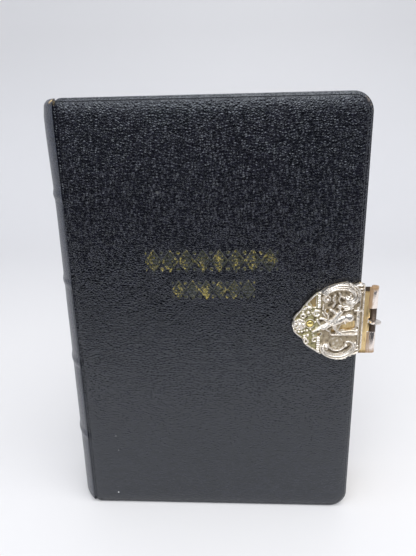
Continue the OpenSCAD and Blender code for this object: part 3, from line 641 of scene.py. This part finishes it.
def cover_skin(name, body, material, back=False, spots=()):
    """Leather over a cover board: soft edges, a creased border, turned in around the inside."""
    bm = bmesh.new()
    ops.create_cube(bm, size=1.0)
    size = (COVER_W - COVER_X0, COVER_T, BOOK_H)
    scale_and_move(bm, size, ((COVER_W + COVER_X0) / 2, COVER_T / 2, BOOK_H / 2))

    def across(e, x):
        a, b = (v.co for v in e.verts)
        return abs(a.x - b.x) < 0.01 and abs(a.z - b.z) < 0.01 and abs(a.x - x) < 0.01

    def face_toward(y):
        return next(f for f in bm.faces if f.normal.y * y > 0.99)

    round_edges(bm, [e for e in bm.edges if across(e, COVER_W)], CORNER_R, 12)
    round_edges(bm, [e for e in bm.edges if across(e, COVER_X0)], SPINE_CORNER_R, 8)
    round_edges(bm, list(face_toward(-1).edges), EDGE_R, 6)
    round_edges(bm, list(face_toward(1).edges), INNER_EDGE_R, 3)
    # Border of the cover, and the fold just inside it
    middle = face_toward(-1)
    for width, depth in ((0.15, 0.0), (0.12, -0.22), (0.2, 0.0), (0.25, 0.2), (0.5, 0.02)):
        ops.inset_region(bm, faces=[middle], thickness=width, depth=depth, use_even_offset=True)
    # Recess that the endpaper lies in, inside the turned-in leather
    z0, z1 = TURN_W, BOOK_H - TURN_W
    x0, x1 = COVER_X0 + JOINT_LAP, COVER_W - TURN_W

    def is_inner(f):
        return f.normal.y > 0.99 and f.calc_center_median().y > COVER_T - 0.01

    cut_faces(bm, is_inner, (1, 0, 0), (x0, x1))
    cut_faces(bm, is_inner, (0, 0, 1), (z0, z1))
    window = [
        f for f in bm.faces
        if is_inner(f) and x0 < f.calc_center_median().x < x1 and z0 < f.calc_center_median().z < z1
    ]
    sunk = ops.extrude_face_region(bm, geom=window)
    ops.translate(bm, vec=(0, -TURN_T, 0), verts=new_verts(sunk))
    ops.delete(bm, geom=window, context="FACES")

    # Grid over the outer face, so that the leather can lie unevenly on its board
    def is_outer(f):
        return f.normal.y < -0.9999 and f.calc_center_median().y < 0.001 and f.calc_center_median().x > 1.0

    cut_faces(bm, is_outer, (1, 0, 0), [2.9, 3.6, 4.5] + [6 + 2.0 * i for i in range(50)])
    cut_faces(bm, is_outer, (0, 0, 1), [4 + 2.0 * i for i in range(80)])
    for v in bm.verts:
        x, y, z = v.co
        if y < 1.5:
            lie = uneven(x, z, 0.09, 3.0 + 9 * back) * 0.07 + uneven(x, z, 0.33, 7.0 + 9 * back) * 0.03
            inset = outline_depth(x, z)
            border = sum(fall * max(1 - inset / width, 0) ** power for fall, width, power in EDGE_FALLS)
            border *= 1 - ease((y - 0.2) / 1.0)
            shoulder = 0.22 * (1 - ease((x - COVER_X0) / 3.0)) * (1 - ease((y - 0.2) / 1.2))
            v.co.y += max(lie, -0.02) * ease(inset / 4) + max(border, shoulder)
    wear, rim = [], []
    for v in bm.verts:
        x, y, z = v.co
        inset = outline_depth(x, z)
        on_edge = inset < 0.9 and y < 2.9
        rub = 0.16 * on_edge * (0.4 + 0.6 * noise.noise(v.co * 0.12))
        corner = on_edge and x > COVER_W - CORNER_R and min(z, BOOK_H - z) < CORNER_R
        wear.append(max(wear_at(x, z, spots) if y < 3 else 0.0, rub + 0.1 * corner))
        rim.append(inset if y < 1.5 else 0.0)
    if back:
        to_back(bm)
    bm.transform(BOOK)
    leather = "back_leather" if back else "front_leather"
    piece = shaped(name, bm, body, material, (leather,), sharp=24)
    mark(piece.data, "wear", wear)
    mark(piece.data, "rim", rim)


def on_spine(r, angle, z):
    """A point at a radius and angle of the rounded back."""
    return SPINE_X - r * cos(angle), MID_Y - r * sin(angle), z


def spin_round(bm, geom, half, steps):
    """Sweeps an outline over the rounded back, by half an angle to each side."""
    ops.spin(
        bm, geom=geom, cent=(SPINE_X, MID_Y, 0), axis=(0, 0, 1), angle=-2 * half, steps=steps,
        use_duplicate=False,
    )


def band_z(i):
    return BOOK_H * i / (BAND_COUNT + 1)


def band_profile(r, i):
    """Points of one raised band, from its lower to its upper foot, as radius and height."""
    z, steps = band_z(i), 12
    return [
        (r + BAND_H * (1 + cos(pi * t)) / 2, z + t * BAND_W / 2)
        for t in (2 * k / steps - 1 for k in range(steps + 1))
    ]


def spine_skin(material):
    """Leather over the rounded spine, moulded over the raised bands and turned in at head and tail."""
    cap = SPINE_LEATHER_T
    bend = 2 * cap
    lining_r = SPINE_R - SPINE_LEATHER_T
    lip_r = SPINE_R - (ROLL_R + LINING_T + SPINE_LEATHER_T)
    quarter = [radians(11.25 * k) for k in range(9)]
    outer = [(SPINE_R - CAP_R + CAP_R * sin(a), CAP_R - CAP_R * cos(a)) for a in quarter]
    for i in range(1, BAND_COUNT + 1):
        last = outer[-1][1]
        band = band_profile(SPINE_R, i)
        steps = 8
        outer += [(SPINE_R, last + (band[0][1] - last) * k / steps) for k in range(1, steps)]
        outer += band
    last = outer[-1][1]
    outer += [(SPINE_R, last + (BOOK_H - CAP_R - last) * k / 8) for k in range(1, 8)]
    outer += [(SPINE_R - CAP_R + CAP_R * cos(a), BOOK_H - CAP_R + CAP_R * sin(a)) for a in quarter]
    inner = [(lip_r, BOOK_H - 0.15), (lip_r + 0.1, BOOK_H - cap)]
    inner += [(SPINE_R - bend, BOOK_H - cap), (lining_r, BOOK_H - bend)]
    for i in range(BAND_COUNT, 0, -1):
        inner += [(r + 0.02, z) for r, z in reversed(band_profile(lining_r, i))]
    inner += [(lining_r, bend), (SPINE_R - bend, cap), (lip_r + 0.1, cap), (lip_r, 0.15)]

    bm = bmesh.new()
    start = asin(MID_Y / SPINE_R) + radians(1)
    points = [bm.verts.new(on_spine(r, start, z)) for r, z in outer + inner]
    loop = [bm.edges.new((points[i], points[(i + 1) % len(points)])) for i in range(len(points))]
    spin_round(bm, points + loop, start, 44)
    swell, swell_z, over = SPINE_FLARE
    for v in bm.verts:
        r = hypot(v.co.x - SPINE_X, v.co.y - MID_Y)
        if r > SPINE_R - 0.3:
            lie = uneven(v.co.y, v.co.z, 0.12, 1.0) * 0.05
            flare = swell * ease((v.co.z - swell_z) / over) * ease((BOOK_H - v.co.z) / 5)
            push = (r + min(lie, 0.03) + flare) / r
            v.co.x = SPINE_X + (v.co.x - SPINE_X) * push
            v.co.y = MID_Y + (v.co.y - MID_Y) * push
    ops.bisect_plane(
        bm, geom=bm.verts[:] + bm.edges[:] + bm.faces[:], dist=1e-5, plane_co=(-COVER_X0, 0, 0),
        plane_no=(1, 0, 0), clear_outer=True,
    )
    close_holes(bm)
    ops.recalc_face_normals(bm, faces=bm.faces)
    wear = []
    for v in bm.verts:
        y, z = v.co.y, v.co.z
        head = min(1.2 * exp(-((BOOK_H - 1.0 - z) ** 2 + (y - 1.5) ** 2)), 1.0)
        foot = 0.4 * exp(-(z ** 2 + ((y - 3.0) * 0.6) ** 2) / 1.6)
        caps = 0.3 * exp(-min(z, BOOK_H - z) / 0.8) * (1 - abs(2 * y / BOOK_T - 1))
        ridge = max(exp(-(z - band_z(i)) ** 2) for i in range(1, BAND_COUNT + 1))
        wear.append(max(head, foot, caps, 0.2 * ridge))
    bm.transform(BOOK)
    piece = shaped("spine_skin", bm, "block", material, ("spine_leather",), sharp=50)
    mark(piece.data, "wear", wear)


def joint_strip(name, material, back=False):
    """Leather in the groove between spine and cover, a fixed strip that rides on no body."""
    bm = bmesh.new()
    ops.create_grid(bm, x_segments=12, y_segments=40, size=0.5)
    ops.rotate(bm, verts=bm.verts, cent=(0, 0, 0), matrix=Matrix.Rotation(pi / 2, 3, "X"))
    scale_and_move(bm, (JOINT_W, 1, BOOK_H - 2 * SPINE_CORNER_R), (0.1, JOINT_DEPTH, BOOK_H / 2))
    for v in bm.verts:
        v.co.y += 0.25 * (v.co.x - 0.1) ** 2
    ops.solidify(bm, geom=bm.faces[:], thickness=-0.2)
    ops.recalc_face_normals(bm, faces=bm.faces)
    if back:
        to_back(bm)
    bm.transform(BOOK)
    piece = shaped(name, bm, None, material)
    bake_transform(piece)
    mark(piece.data, "wear", [0.0] * len(piece.data.vertices))


# Pages and bands

def leaves(material):
    """The pages: bundles of leaves that stand a little uneven at head, tail and fore-edge."""
    draw = random.Random(11)
    bm = from_cad("text_block")
    bm.transform(BOOK.inverted())
    pitch = 0.5
    count = int((BOOK_T - 2 * PAGE_Y0) / pitch)
    steps = [draw.uniform(-1, 1) for _ in range(count + 2)]
    cut_faces(bm, lambda f: True, (0, 1, 0), [PAGE_Y0 + pitch * (i + 0.5) for i in range(count)])
    bm.normal_update()
    for v in bm.verts:
        if v.co.x < 2:
            continue
        layer = steps[min(max(int((v.co.y - PAGE_Y0) / pitch), 0), count)]
        out = Vector((v.normal.x, 0, v.normal.z))
        v.co += out * layer * (0.10 if abs(out.x) > 0.5 else 0.05)
    bm.transform(BOOK)
    shaped("leaves", bm, "block", material, ("text_block",), sharp=30)


def sewn_band(name, node, z, material):
    """A head or tail band: thread sewn round a core, along the rounded back of the pages."""
    bm = bmesh.new()
    path_r = SPINE_R - SPINE_LEATHER_T - LINING_T - ROLL_R
    half = asin((MID_Y - PAGE_Y0 - 0.5) / path_r)
    wraps = int(2 * half * path_r / 0.42)
    ring = ops.create_circle(bm, segments=12, radius=ROLL_R - 0.08)["verts"]
    ops.rotate(bm, verts=ring, cent=(0, 0, 0), matrix=Matrix.Rotation(pi / 2, 3, "X"))
    ops.translate(bm, verts=ring, vec=(SPINE_X - path_r, MID_Y, z))
    ops.rotate(bm, verts=ring, cent=(SPINE_X, MID_Y, 0), matrix=Matrix.Rotation(half, 3, "Z"))
    spin_round(bm, ring + bm.edges[:], half, wraps * 4)
    close_holes(bm)
    turns = []
    for v in bm.verts:
        angle = atan2(MID_Y - v.co.y, SPINE_X - v.co.x)
        along = (angle + half) / (2 * half) * wraps
        centre = Vector(on_spine(path_r, angle, z))
        swell = 1 + 0.1 * abs(sin(pi * along))
        v.co = centre + (v.co - centre) * swell
        turns.append(1.0 if int(along / 3) % 2 else 0.0)
    ops.recalc_face_normals(bm, faces=bm.faces)
    bm.transform(BOOK)
    piece = shaped(name, bm, "block", material, (node,), sharp=80)
    mark(piece.data, "turn", turns)


# Clasp

def arc_points(cx, cy, r0, r1, a0, a1, count=12):
    """Points along an arc or a spiral, from angle a0 to a1 in degrees."""
    turns = [k / count for k in range(count + 1)]
    return [
        (
            cx + (r0 + (r1 - r0) * t) * cos(radians(a0 + (a1 - a0) * t)),
            cy + (r0 + (r1 - r0) * t) * sin(radians(a0 + (a1 - a0) * t)),
        )
        for t in turns
    ]


def smooth_path(points):
    """A smooth curve through the given points."""
    ends = [points[0], *points, points[-1]]
    made, count = [], 6
    for a, b, c, d in zip(ends, ends[1:], ends[2:], ends[3:]):
        for k in range(count):
            t = k / count
            made.append(tuple(
                0.5 * (
                    2 * q + (r - p) * t + (2 * p - 5 * q + 4 * r - w) * t * t
                    + (3 * q - p - 3 * r + w) * t ** 3
                )
                for p, q, r, w in zip(a, b, c, d)
            ))
    made.append(points[-1])
    return made


def fluted(path, offsets, half, rise):
    """Parallel ridges along a path, as on a long leaf; they run together toward its ends."""
    strokes = []
    for offset in offsets:
        line = []
        for i, (x, y) in enumerate(path):
            a, b = path[max(i - 1, 0)], path[min(i + 1, len(path) - 1)]
            dx, dy = b[0] - a[0], b[1] - a[1]
            size = hypot(dx, dy) or 1.0
            t = i / (len(path) - 1)
            open_out = 0.5 + 0.5 * sin(pi * t)
            line.append((x - dy / size * offset * open_out, y + dx / size * offset * open_out))
        strokes.append((line, half, rise))
    return strokes


# The finer strokes of the relief, in millimetres from the fore-edge and the clasp's middle. Each row ends
# with the stroke's half width and its rise.
# Leaves: path, and how far beside it the ridges lie
LEAVES = (
    (
        ((-14, 11), (-11.6, 13.2), (-8, 14.2), (-4.6, 13.8), (-2.3, 12), (-2, 9.7), (-3.6, 8.1), (-5.6, 8.7)),
        (1.25, 0.42, -0.42, -1.25), 0.4, 1.7,
    ),
    (
        ((-13.7, -9.6), (-13, -11.9), (-10.2, -13.4), (-7, -13.6), (-4, -12.3), (-2.2, -10.2), (-2, -8.2)),
        (-1.1, -0.25, 0.6), 0.4, 1.7,
    ),
    (((-11.8, -13.9), (-9, -14.9), (-6, -15.6)), (0.3, -0.3), 0.33, 1.1),
    (((-21.6, -7.6), (-19.6, -9.8), (-17, -11.4), (-14.4, -12.8)), (0.35, -0.3), 0.35, 1.0),
    # A shell in the upper field
    (((-8.6, 5.9), (-6.9, 4.9), (-4.7, 4.9), (-3, 6.3)), (1.3, 0.6, -0.1), 0.32, 0.95),
)
# Curved strokes: path
CURVES = (
    # Folds of cloth in the upper field
    (((-9.8, 10.6), (-10.4, 9), (-9.7, 7.6), (-10.3, 6.2)), 0.45, 1.15),
    (((-8.3, 11.3), (-7.7, 10.1), (-8.3, 8.8), (-7.5, 7.4)), 0.38, 1.0),
    (((-6.8, 9.9), (-5.6, 9.2), (-4.4, 9.6), (-4.3, 10.7)), 0.55, 1.6),
    # The child, stretched along its drapery: back and legs, bent leg, arm and wing
    (((-7.5, 4.1), (-8.6, 2.6), (-10, 0.7), (-11.6, -1.2), (-13.6, -2.3)), 0.95, 1.75),
    (((-13.4, -2.3), (-15.4, -2.9), (-17.4, -3.8)), 0.55, 1.3),
    (((-9.8, -1.3), (-8.9, -3.4), (-7.4, -4.3)), 0.75, 1.5),
    (((-11.4, 4.9), (-10, 4.3), (-8.9, 3.2)), 0.6, 1.35),
    (((-11.8, -0.4), (-13.2, 1.1), (-14.8, 1.3)), 0.5, 1.0),
    (((-12.9, 4.4), (-11.9, 2.4), (-12.2, 0.8)), 0.4, 0.95),
)
# Straight strokes: the child's belly, and the ledge above the bowl
BARS = ((((-6.7, 1.5), (-8.2, 0.3)), 1.35, 1.9), (((-10.8, -4.9), (-1.2, -4.8)), 0.55, 1.5))
# Rings and petals toward the tip, then the scrolls' eyes: centre, first and last radius, first and last angle
RINGS = (
    (-16.1, 3.3, 1.3, 0.9, 40, 330, 0.42, 1.0),
    (-22.4, -1.1, 2.0, 2.0, 20, 340, 0.4, 1.0),
    (-19.7, -7.7, 1.4, 0.5, 110, 430, 0.4, 1.25),
    (-16.6, -7.4, 1.0, 0.6, 60, 300, 0.3, 0.9),
    (-21.2, 2.3, 0.8, 0.8, 0, 360, 0.3, 0.9),
    (-12.7, 9.1, 1.5, 1.1, 200, -30, 0.35, 1.4),
    (-12.6, -10, 1.5, 1.1, 150, 380, 0.35, 1.4),
)
# Beads on a ring, the last ones curls of hair: centre, radii, first angle, step and number
BEADS = (
    ((-19.3, 3.9), (1.9, 1.9), 60, 30, 7, 0.42, 1.0),
    ((-22.4, -1.1), (3.0, 3.0), 200, 22, 5, 0.5, 1.05),
    (HEAD, (1.45, 1.35), -50, 32, 7, 0.5, 1.95),
)


def chased_strokes():
    """All finer strokes of the relief: path, half width, rise."""
    strokes = [(smooth_path(path), half, rise) for path, half, rise in CURVES]
    strokes += BARS
    for path, offsets, half, rise in LEAVES:
        strokes += fluted(smooth_path(path), offsets, half, rise)
    # Leaf ends beside the border
    for y in (14.2, 12.9, 11.6):
        strokes.append((smooth_path([(-3.4, y - 0.6), (-1.9, y + 0.1), (-0.1, y)]), 0.4, 1.1))
    for y in (-13, -11.6, -10.3):
        strokes.append((smooth_path([(-3.6, y - 0.7), (-2, y), (-0.4, y + 0.5)]), 0.38, 1.05))
    strokes += [(arc_points(*ring), half, rise) for *ring, half, rise in RINGS]
    # Rim of the bowl
    strokes.append((arc_points(*BOWL, 3.3, 3.3, 195, 350, 20), 0.42, 1.35))

    def dot(x, y, half, rise):
        strokes.append(([(x, y)] * 2, half, rise))

    # Middles of the flower and of the large ring
    dot(-16.1, 3.3, 0.75, 0.85)
    dot(-22.5, -1.0, 1.35, 1.0)
    for (x, y), (rx, ry), angle, step, count, half, rise in BEADS:
        for k in range(count):
            a = radians(angle + step * k)
            dot(x + rx * cos(a), y + ry * sin(a), half, rise)
    # Grains of fruit fill the field between the rings
    draw = random.Random(5)
    for _ in range(22):
        x, y = draw.uniform(-20.6, -15.6), draw.uniform(-6.4, 6.6)
        if hypot(x + 18.7, y + 0.9) > 2.1:
            dot(x, y, draw.uniform(0.3, 0.5), draw.uniform(0.55, 0.85))
    return strokes


def run_together(u, v, lift):
    """The relief's height averaged around each point, which fills its corners with soft slopes."""
    i = np.clip(((u + GRID_CORNER[0]) / GRID_CELL).astype(int), 0, GRID_SHAPE[0] - 1)
    j = np.clip(((v + GRID_CORNER[1]) / GRID_CELL).astype(int), 0, GRID_SHAPE[1] - 1)
    total, count = np.zeros(GRID_SHAPE), np.zeros(GRID_SHAPE)
    np.add.at(total, (i, j), lift)
    np.add.at(count, (i, j), 1.0)
    steps = range(-GRID_REACH, GRID_REACH + 1)
    for axis in (0, 1, 0, 1):
        total = sum(np.roll(total, k, axis) for k in steps)
        count = sum(np.roll(count, k, axis) for k in steps)
    return total[i, j] / np.maximum(count[i, j], 1e-6)


def chase(bm):
    """Raises the finer strokes on the ornament's front and leaves its ground uneven, as cast."""
    verts = list(bm.verts)
    to_book = np.array(BOOK.inverted())
    co = np.array([v.co for v in verts]) @ to_book[:3, :3].T + to_book[:3, 3]
    u, v, height = co[:, 0] - COVER_W, co[:, 2] - CLASP_Z, GROUND_Y - co[:, 1]
    in_bowl = np.hypot((u - BOWL[0]) / BOWL_R[0], (v - BOWL[1]) / BOWL_R[1])
    outward = np.array([w.normal.y < -0.25 for w in verts])
    front = (outward & (height > -0.12)) | ((in_bowl < 1) & (height > 0.05))
    at_u, at_v, lift, bowl = u[front], v[front], height[front], in_bowl[front]
    # The bowl that the lower scroll holds, and the child's rounded head
    lift = np.where(bowl < 1, np.minimum(lift, 0.15 + 0.3 * bowl ** 4), lift)
    head = np.clip(1 - ((at_u - HEAD[0]) / HEAD_R[0]) ** 2 - ((at_v - HEAD[1]) / HEAD_R[1]) ** 2, 0, 1)
    lift = np.where(head > 0, np.maximum(lift, 0.8 + 1.5 * np.sqrt(head)), lift)
    # The hand that chased it was not ruled
    sway = np.array([noise.noise_vector(Vector((a * 0.9, b * 0.9, 2.0))) for a, b in zip(at_u, at_v)])
    at_u, at_v = at_u + 0.1 * sway[:, 0], at_v + 0.1 * sway[:, 1]
    for path, half, rise in chased_strokes():
        near = np.full(len(at_u), 9.0)
        for (ax, ay), (bx, by) in zip(path, path[1:]):
            dx, dy = bx - ax, by - ay
            t = np.clip(((at_u - ax) * dx + (at_v - ay) * dy) / max(dx * dx + dy * dy, 1e-9), 0, 1)
            near = np.minimum(near, np.hypot(at_u - ax - t * dx, at_v - ay - t * dy))
        crown = rise * np.sqrt(np.clip(1.15 - (near / half) ** 2, 0, 1))
        lift = np.maximum(lift, np.where(near < half * 1.07, crown, 0))
    lift = np.maximum(lift, 0.5 * run_together(at_u, at_v, lift))
    rough = np.array([
        0.2 * uneven(a, b, 0.8, 5.0) + 0.07 * uneven(a, b, 2.3, 9.0) for a, b in zip(at_u, at_v)
    ])
    lift = np.minimum(lift + rough * np.clip(1.15 - 0.6 * lift, 0.25, 1), MAX_LIFT)
    chosen = [w for w, f in zip(verts, front) if f]
    for w, new in zip(chosen, lift):
        w.co.y = first.y + (GROUND_Y - new) * MM


def cast_ornament(material):
    """The cast relief: the solid's form, chased, run together and softened as worn metal is."""
    rough = link_object("cast", into_mesh(from_cad("front_ornament", flat=0), "cast"))
    modifier = rough.modifiers.new("run together", "REMESH")
    modifier.mode = "VOXEL"
    modifier.voxel_size = VOXEL
    bpy.context.view_layer.update()
    cast = rough.evaluated_get(bpy.context.evaluated_depsgraph_get())
    bm = bmesh.new()
    bm.from_mesh(cast.to_mesh())
    cast.to_mesh_clear()
    bpy.data.objects.remove(rough)

    def soften_cast(rounds):
        for _ in range(rounds):
            ops.smooth_vert(
                bm, verts=bm.verts, factor=0.5, use_axis_x=True, use_axis_y=True, use_axis_z=True
            )
        bm.normal_update()

    soften_cast(2)
    chase(bm)
    soften_cast(3)
    solid = ("front_ornament",)
    mesh = shaped("cast_ornament", bm, "front_cover", material, solid, sharp=180).data
    hollow = hollow_depth(mesh, 26, 0.22)
    y = np.array([v.co.y for v in mesh.vertices])
    low = np.clip(1 - (first.y / MM + GROUND_Y - y / MM) / 1.1, 0, 1)
    mark(mesh, "hollow", np.clip(0.6 * hollow + 0.62 * low - 0.05, -1, 1.2))


# Darkening of the metal parts at a point of the book, from bright at 0 to dark at 1: mostly tarnish, with
# painted shade at the gilt strip's upper end
def even_stain(x, y, z):
    return 0.25


def no_stain(x, y, z):
    return 0.0


def barrel_stain(x, y, z):
    """Brown leaf beside the barrel, and brown ends."""
    end = ease((abs(z - CLASP_Z) - BARREL_H / 2 + 2.2) / 1.6)
    leaf = 1 - ease((x - BARREL_X + 1.5) / 0.5)
    return max((0.6 if z > CLASP_Z else 0.38) * leaf, 0.45 * end)


def strip_tarnish_and_shade(x, y, z):
    """The gilt sheet is browner at the two ends of its strip beside the barrel; at its upper end painted
    shade darkens it further, standing for the shadow in the notch above the barrel.
    """
    end = ease((abs(z - CLASP_Z) - BARREL_H / 2 + 1.6) / 1.2)
    # Painted shade: the strip's upper end is darkened toward the deep colour, as a shadowed notch
    head = ease((z - CLASP_Z - BARREL_H / 2 + 2.4) / 1.2)
    return 0.16 + (0.7 * end + 0.7 * head) * (x > COVER_W)


def hook_dark_behind(x, y, z):
    """The hook is dark behind, on its roll toward the cover, and bright in front, where its thumb tab stands.
    """
    return 0.95 * ease((y + 1.4) / 0.7)


def metal_piece(name, node, body, slot, material, width, darkening=even_stain, cuts=()):
    """A metal part with its edges softened by a width; the darkening function gives its tarnish at a point of
    the book, and painted shade on the gilt strip's upper end.
    """
    bm = from_cad(node)
    for direction, places in cuts:
        cut_faces(bm, lambda f: True, direction, places)
    if width:
        soften(bm, width)
    piece = shaped(name, bm, body, material, (node,))
    to_book = BOOK.inverted()
    mark(piece.data, "hollow", [darkening(*(to_book @ v.co)) for v in piece.data.vertices])


def file_back(mesh):
    """Makes the backing plate a little smaller, so that its edge stays behind the worn casting."""
    for v in mesh.vertices:
        x, y, z = BOOK.inverted() @ v.co
        keep = 1 - FILED_BACK * ease((COVER_W - 0.5 - x) / 2)
        v.co = at(COVER_W - FILED_TO + (x - COVER_W + FILED_TO) * keep, y, CLASP_Z + (z - CLASP_Z) * keep)


# Stage

def build_stage():
    """Pale floor that sweeps up behind the book, and a soft, bright surround."""
    bm = bmesh.new()
    floor_z = -0.0001
    # Where the flat part ends in front and behind, and the radii of the two rolls
    front, rear, front_r, rear_r = -0.21, 0.42, 0.12, 0.3
    angles = [radians(10 * k) for k in range(1, 10)]
    # The sheet rolls off the table's edge in front, lies flat under the book and sweeps up behind it
    profile = [(-0.33, -0.6)]
    profile += [
        (front - front_r * sin(a), -front_r + front_r * cos(a) + floor_z) for a in reversed(angles)
    ]
    profile += [(front, floor_z), (rear, floor_z)]
    profile += [(rear + rear_r * sin(a), rear_r - rear_r * cos(a) + floor_z) for a in angles]
    profile += [(0.72, 1.6)]
    verts = [bm.verts.new((-1.8, y, z)) for y, z in profile]
    edges = [bm.edges.new(pair) for pair in zip(verts, verts[1:])]
    made = ops.extrude_edge_only(bm, edges=edges)
    ops.translate(bm, vec=(3.6, 0, 0), verts=new_verts(made))
    ops.recalc_face_normals(bm, faces=bm.faces)
    if any(f.normal.z < -0.5 for f in bm.faces):
        ops.reverse_faces(bm, faces=bm.faces)
    mesh = into_mesh(bm, "sweep")
    mesh.shade_smooth()
    sweep = link_object("sweep", mesh)
    material, shop, surface, place = new_material("pale_sweep")
    _, y, z = shop.axes(place)
    # Painted shade: the sheet's colour darkens farther behind the book and lightens again high up, standing
    # for how the light falls over the sweep
    away = shop.ramp(y, 0.1, 0.55)
    tone = shop.blend(away, rgb(0.815, 0.795, 0.78), rgb(0.75, 0.735, 0.73))
    high = shop.ramp(z, 0.15, 0.5)
    tone = shop.blend(high, tone, rgb(0.82, 0.805, 0.80))
    join(shop, surface, Base_Color=tone, Roughness=0.45)
    mesh.materials.append(material)

    world = bpy.data.worlds.new("surround")
    scene.world = world
    shop = empty_shop(world)
    _, y, z = shop.axes(shop.add("TexCoord").outputs["Generated"])
    # Dark toward the photographer and below, bright walls, and a brighter patch above the photographer
    toward = shop.ramp(y, -0.1, -0.75)
    above = shop.ramp(z, -0.12, 0.05)
    high = shop.ramp(z, 0.12, 0.28)
    low = shop.minus(1.0, shop.scaled(toward, shop.minus(1.0, high)))
    share = shop.scaled(low, above)
    color = shop.blend(share, rgb(0.024, 0.028, 0.036), rgb(0.70, 0.73, 0.79))
    patch = shop.scaled(shop.ramp(y, 0.05, -0.25), shop.ramp(z, 0.14, 0.34))
    color = shop.blend(patch, color, rgb(1.05, 1.1, 1.2))
    # The camera itself sees a plain pale wall on every side
    seen = shop.add("LightPath").outputs["Is Camera Ray"]
    color = shop.blend(seen, color, rgb(0.72, 0.73, 0.76))
    sky = shop.add("Background", {"Color": color, "Strength": 1.0})
    shop.add("OutputWorld", {"Surface": sky.outputs[0]})


def area_light(name, where, toward, size, power, color=(1, 1, 1)):
    data = bpy.data.lights.new(name, "AREA")
    data.shape = "RECTANGLE"
    data.size, data.size_y = size
    data.energy = power
    data.color = color
    lamp = link_object(name, data)
    spot = Vector(where)
    aim = (Vector(toward) - spot).to_track_quat("-Z", "Y")
    lamp.matrix_world = Matrix.Translation(spot) @ aim.to_matrix().to_4x4()


# Making

place_camera()
build_stage()
area_light("soft_top", (0.1, -0.28, 0.7), (0.0, -0.08, 0.0), (0.7, 0.4), 2.3)
area_light("window", (-0.05, -0.85, 0.74), (0, 0, 0.12), (0.9, 0.35), 2.8, (0.94, 0.97, 1.0))
scene.view_settings.view_transform = "Standard"

cover_leather = leather_material("goatskin_front", tooled=True, creased=True)
back_goatskin = leather_material("goatskin_back", creased=True)
# The spine's leather gets a bluer base colour than the covers': a painted bluish reflection of the
# surroundings
spine_goatskin = leather_material("goatskin_spine", gloss=0.24, tint=(0.010, 0.013, 0.028), flat=0.45)
joint_goatskin = leather_material("goatskin_joint", tilt=0.15)

cover_skin("front_cover_skin", "front_cover", cover_leather, spots=FRONT_WEAR)
cover_skin("back_cover_skin", "back_cover", back_goatskin, back=True, spots=BACK_WEAR)
spine_skin(spine_goatskin)
joint_strip("front_joint", joint_goatskin)
joint_strip("back_joint", joint_goatskin, back=True)

leaves(page_material())
silk = thread_material()
sewn_band("sewn_headband", "headband", BOOK_H - PAGE_SQUARE + ROLL_R + 0.02, silk)
sewn_band("sewn_tailband", "tailband", PAGE_SQUARE - ROLL_R - 0.02, silk)
endpaper = endpaper_material()
coat("front_pastedown", endpaper)
coat("back_pastedown", endpaper)
pasteboard = board_material("pasteboard", (0.16, 0.12, 0.07), (0.34, 0.26, 0.16))
for hidden in ("front_board", "back_board", "raised_bands"):
    coat(hidden, pasteboard)
coat("spine_lining", board_material("glued_lining", (0.30, 0.23, 0.13), (0.50, 0.42, 0.28)))

# Metals: name, bright, dull and deep colours, patchiness, roughness, drawn along z, olive toward the tip
METALS = (
    (
        "cast_silver", (0.85, 0.785, 0.70), (0.40, 0.325, 0.22), (0.09, 0.062, 0.034), 0.7, 0.28, False,
        (0.37, 0.33, 0.16),
    ),
    ("plain_silver", (0.80, 0.76, 0.70), (0.55, 0.49, 0.41), (0.2, 0.15, 0.1), 0.5, 0.22),
    ("bright_silver", (0.88, 0.79, 0.73), (0.44, 0.28, 0.15), (0.12, 0.07, 0.04), 1.2, 0.2, True),
    ("rubbed_gilt", (0.80, 0.60, 0.31), (0.44, 0.30, 0.13), (0.05, 0.033, 0.018), 1.1, 0.3, True),
    ("gilt_dome", (0.95, 0.78, 0.32), (0.5, 0.33, 0.1), (0.15, 0.1, 0.04), 0.3, 0.14),
    ("dull_wire", (0.30, 0.26, 0.22), (0.12, 0.09, 0.06), (0.03, 0.02, 0.015), 0.7, 0.35),
    ("hook_steel", (0.80, 0.74, 0.68), (0.24, 0.17, 0.12), (0.07, 0.045, 0.03), 0.7, 0.22),
)
metal = {row[0]: metal_material(*row) for row in METALS}

# Cuts near the barrel's ends and along the cover's edge, where the tarnish and the painted shade at the gilt
# strip's upper end change
ends = [(CLASP_Z + side * (BARREL_H / 2 - inset)) * MM for side in (-1, 1) for inset in (0.6, 1.4, 2.4)]
end_cuts = ((0, 0, 1), ends)
edge_cuts = ((1, 0, 0), [at(COVER_W, 0, 0).x, at(COVER_W + 0.1, 0, 0).x])
cast_ornament(metal["cast_silver"])
# Metal pieces: name, solid, body, slot, metal, width of the softened edge, darkening (tarnish, and painted
# shade on the gilt strip's upper end) and cuts
for name, node, body, slot, kind, *rest in (
    (
        "gilt_backing", "front_clasp_plate", "front_cover", "gilt_plate", "rubbed_gilt", 0.08, strip_tarnish_and_shade,
        (end_cuts, edge_cuts),
    ),
    ("gilt_stud", "gilt_rivet", "front_cover", "gilt_dome", "gilt_dome", 0.05, no_stain),
    (
        "catch_knuckles", "catch_barrel", "front_cover", "polished_silver", "bright_silver", 0.1,
        barrel_stain, (end_cuts,),
    ),
    ("catch_wire", "catch_pin", "front_cover", "pin_metal", "dull_wire", 0.08),
    ("hidden_rivets", "front_rivets", "front_cover", "rivet_metal", "dull_wire", 0.0),
    ("back_plate", "back_clasp_plate", "back_cover", "plain_silver", "plain_silver", 0.1),
    ("back_studs", "back_rivets", "back_cover", "rivet_metal", "plain_silver", 0.05),
    ("hinge_wire", "hinge_pin", "back_cover", "pin_metal", "dull_wire", 0.08),
    ("bridge_leaf", "bridge", "clasp_arm", "plain_silver", "plain_silver", 0.12),
    ("hook_and_tab", "snap_hook", "clasp_arm", "hook_metal", "hook_steel", 0.0, hook_dark_behind),
    ("hook_studs", "hook_rivets", "clasp_arm", "rivet_metal", "plain_silver", 0.05),
):
    metal_piece(name, node, body, slot, metal[kind], *rest)
file_back(bpy.data.objects["gilt_backing"].data)
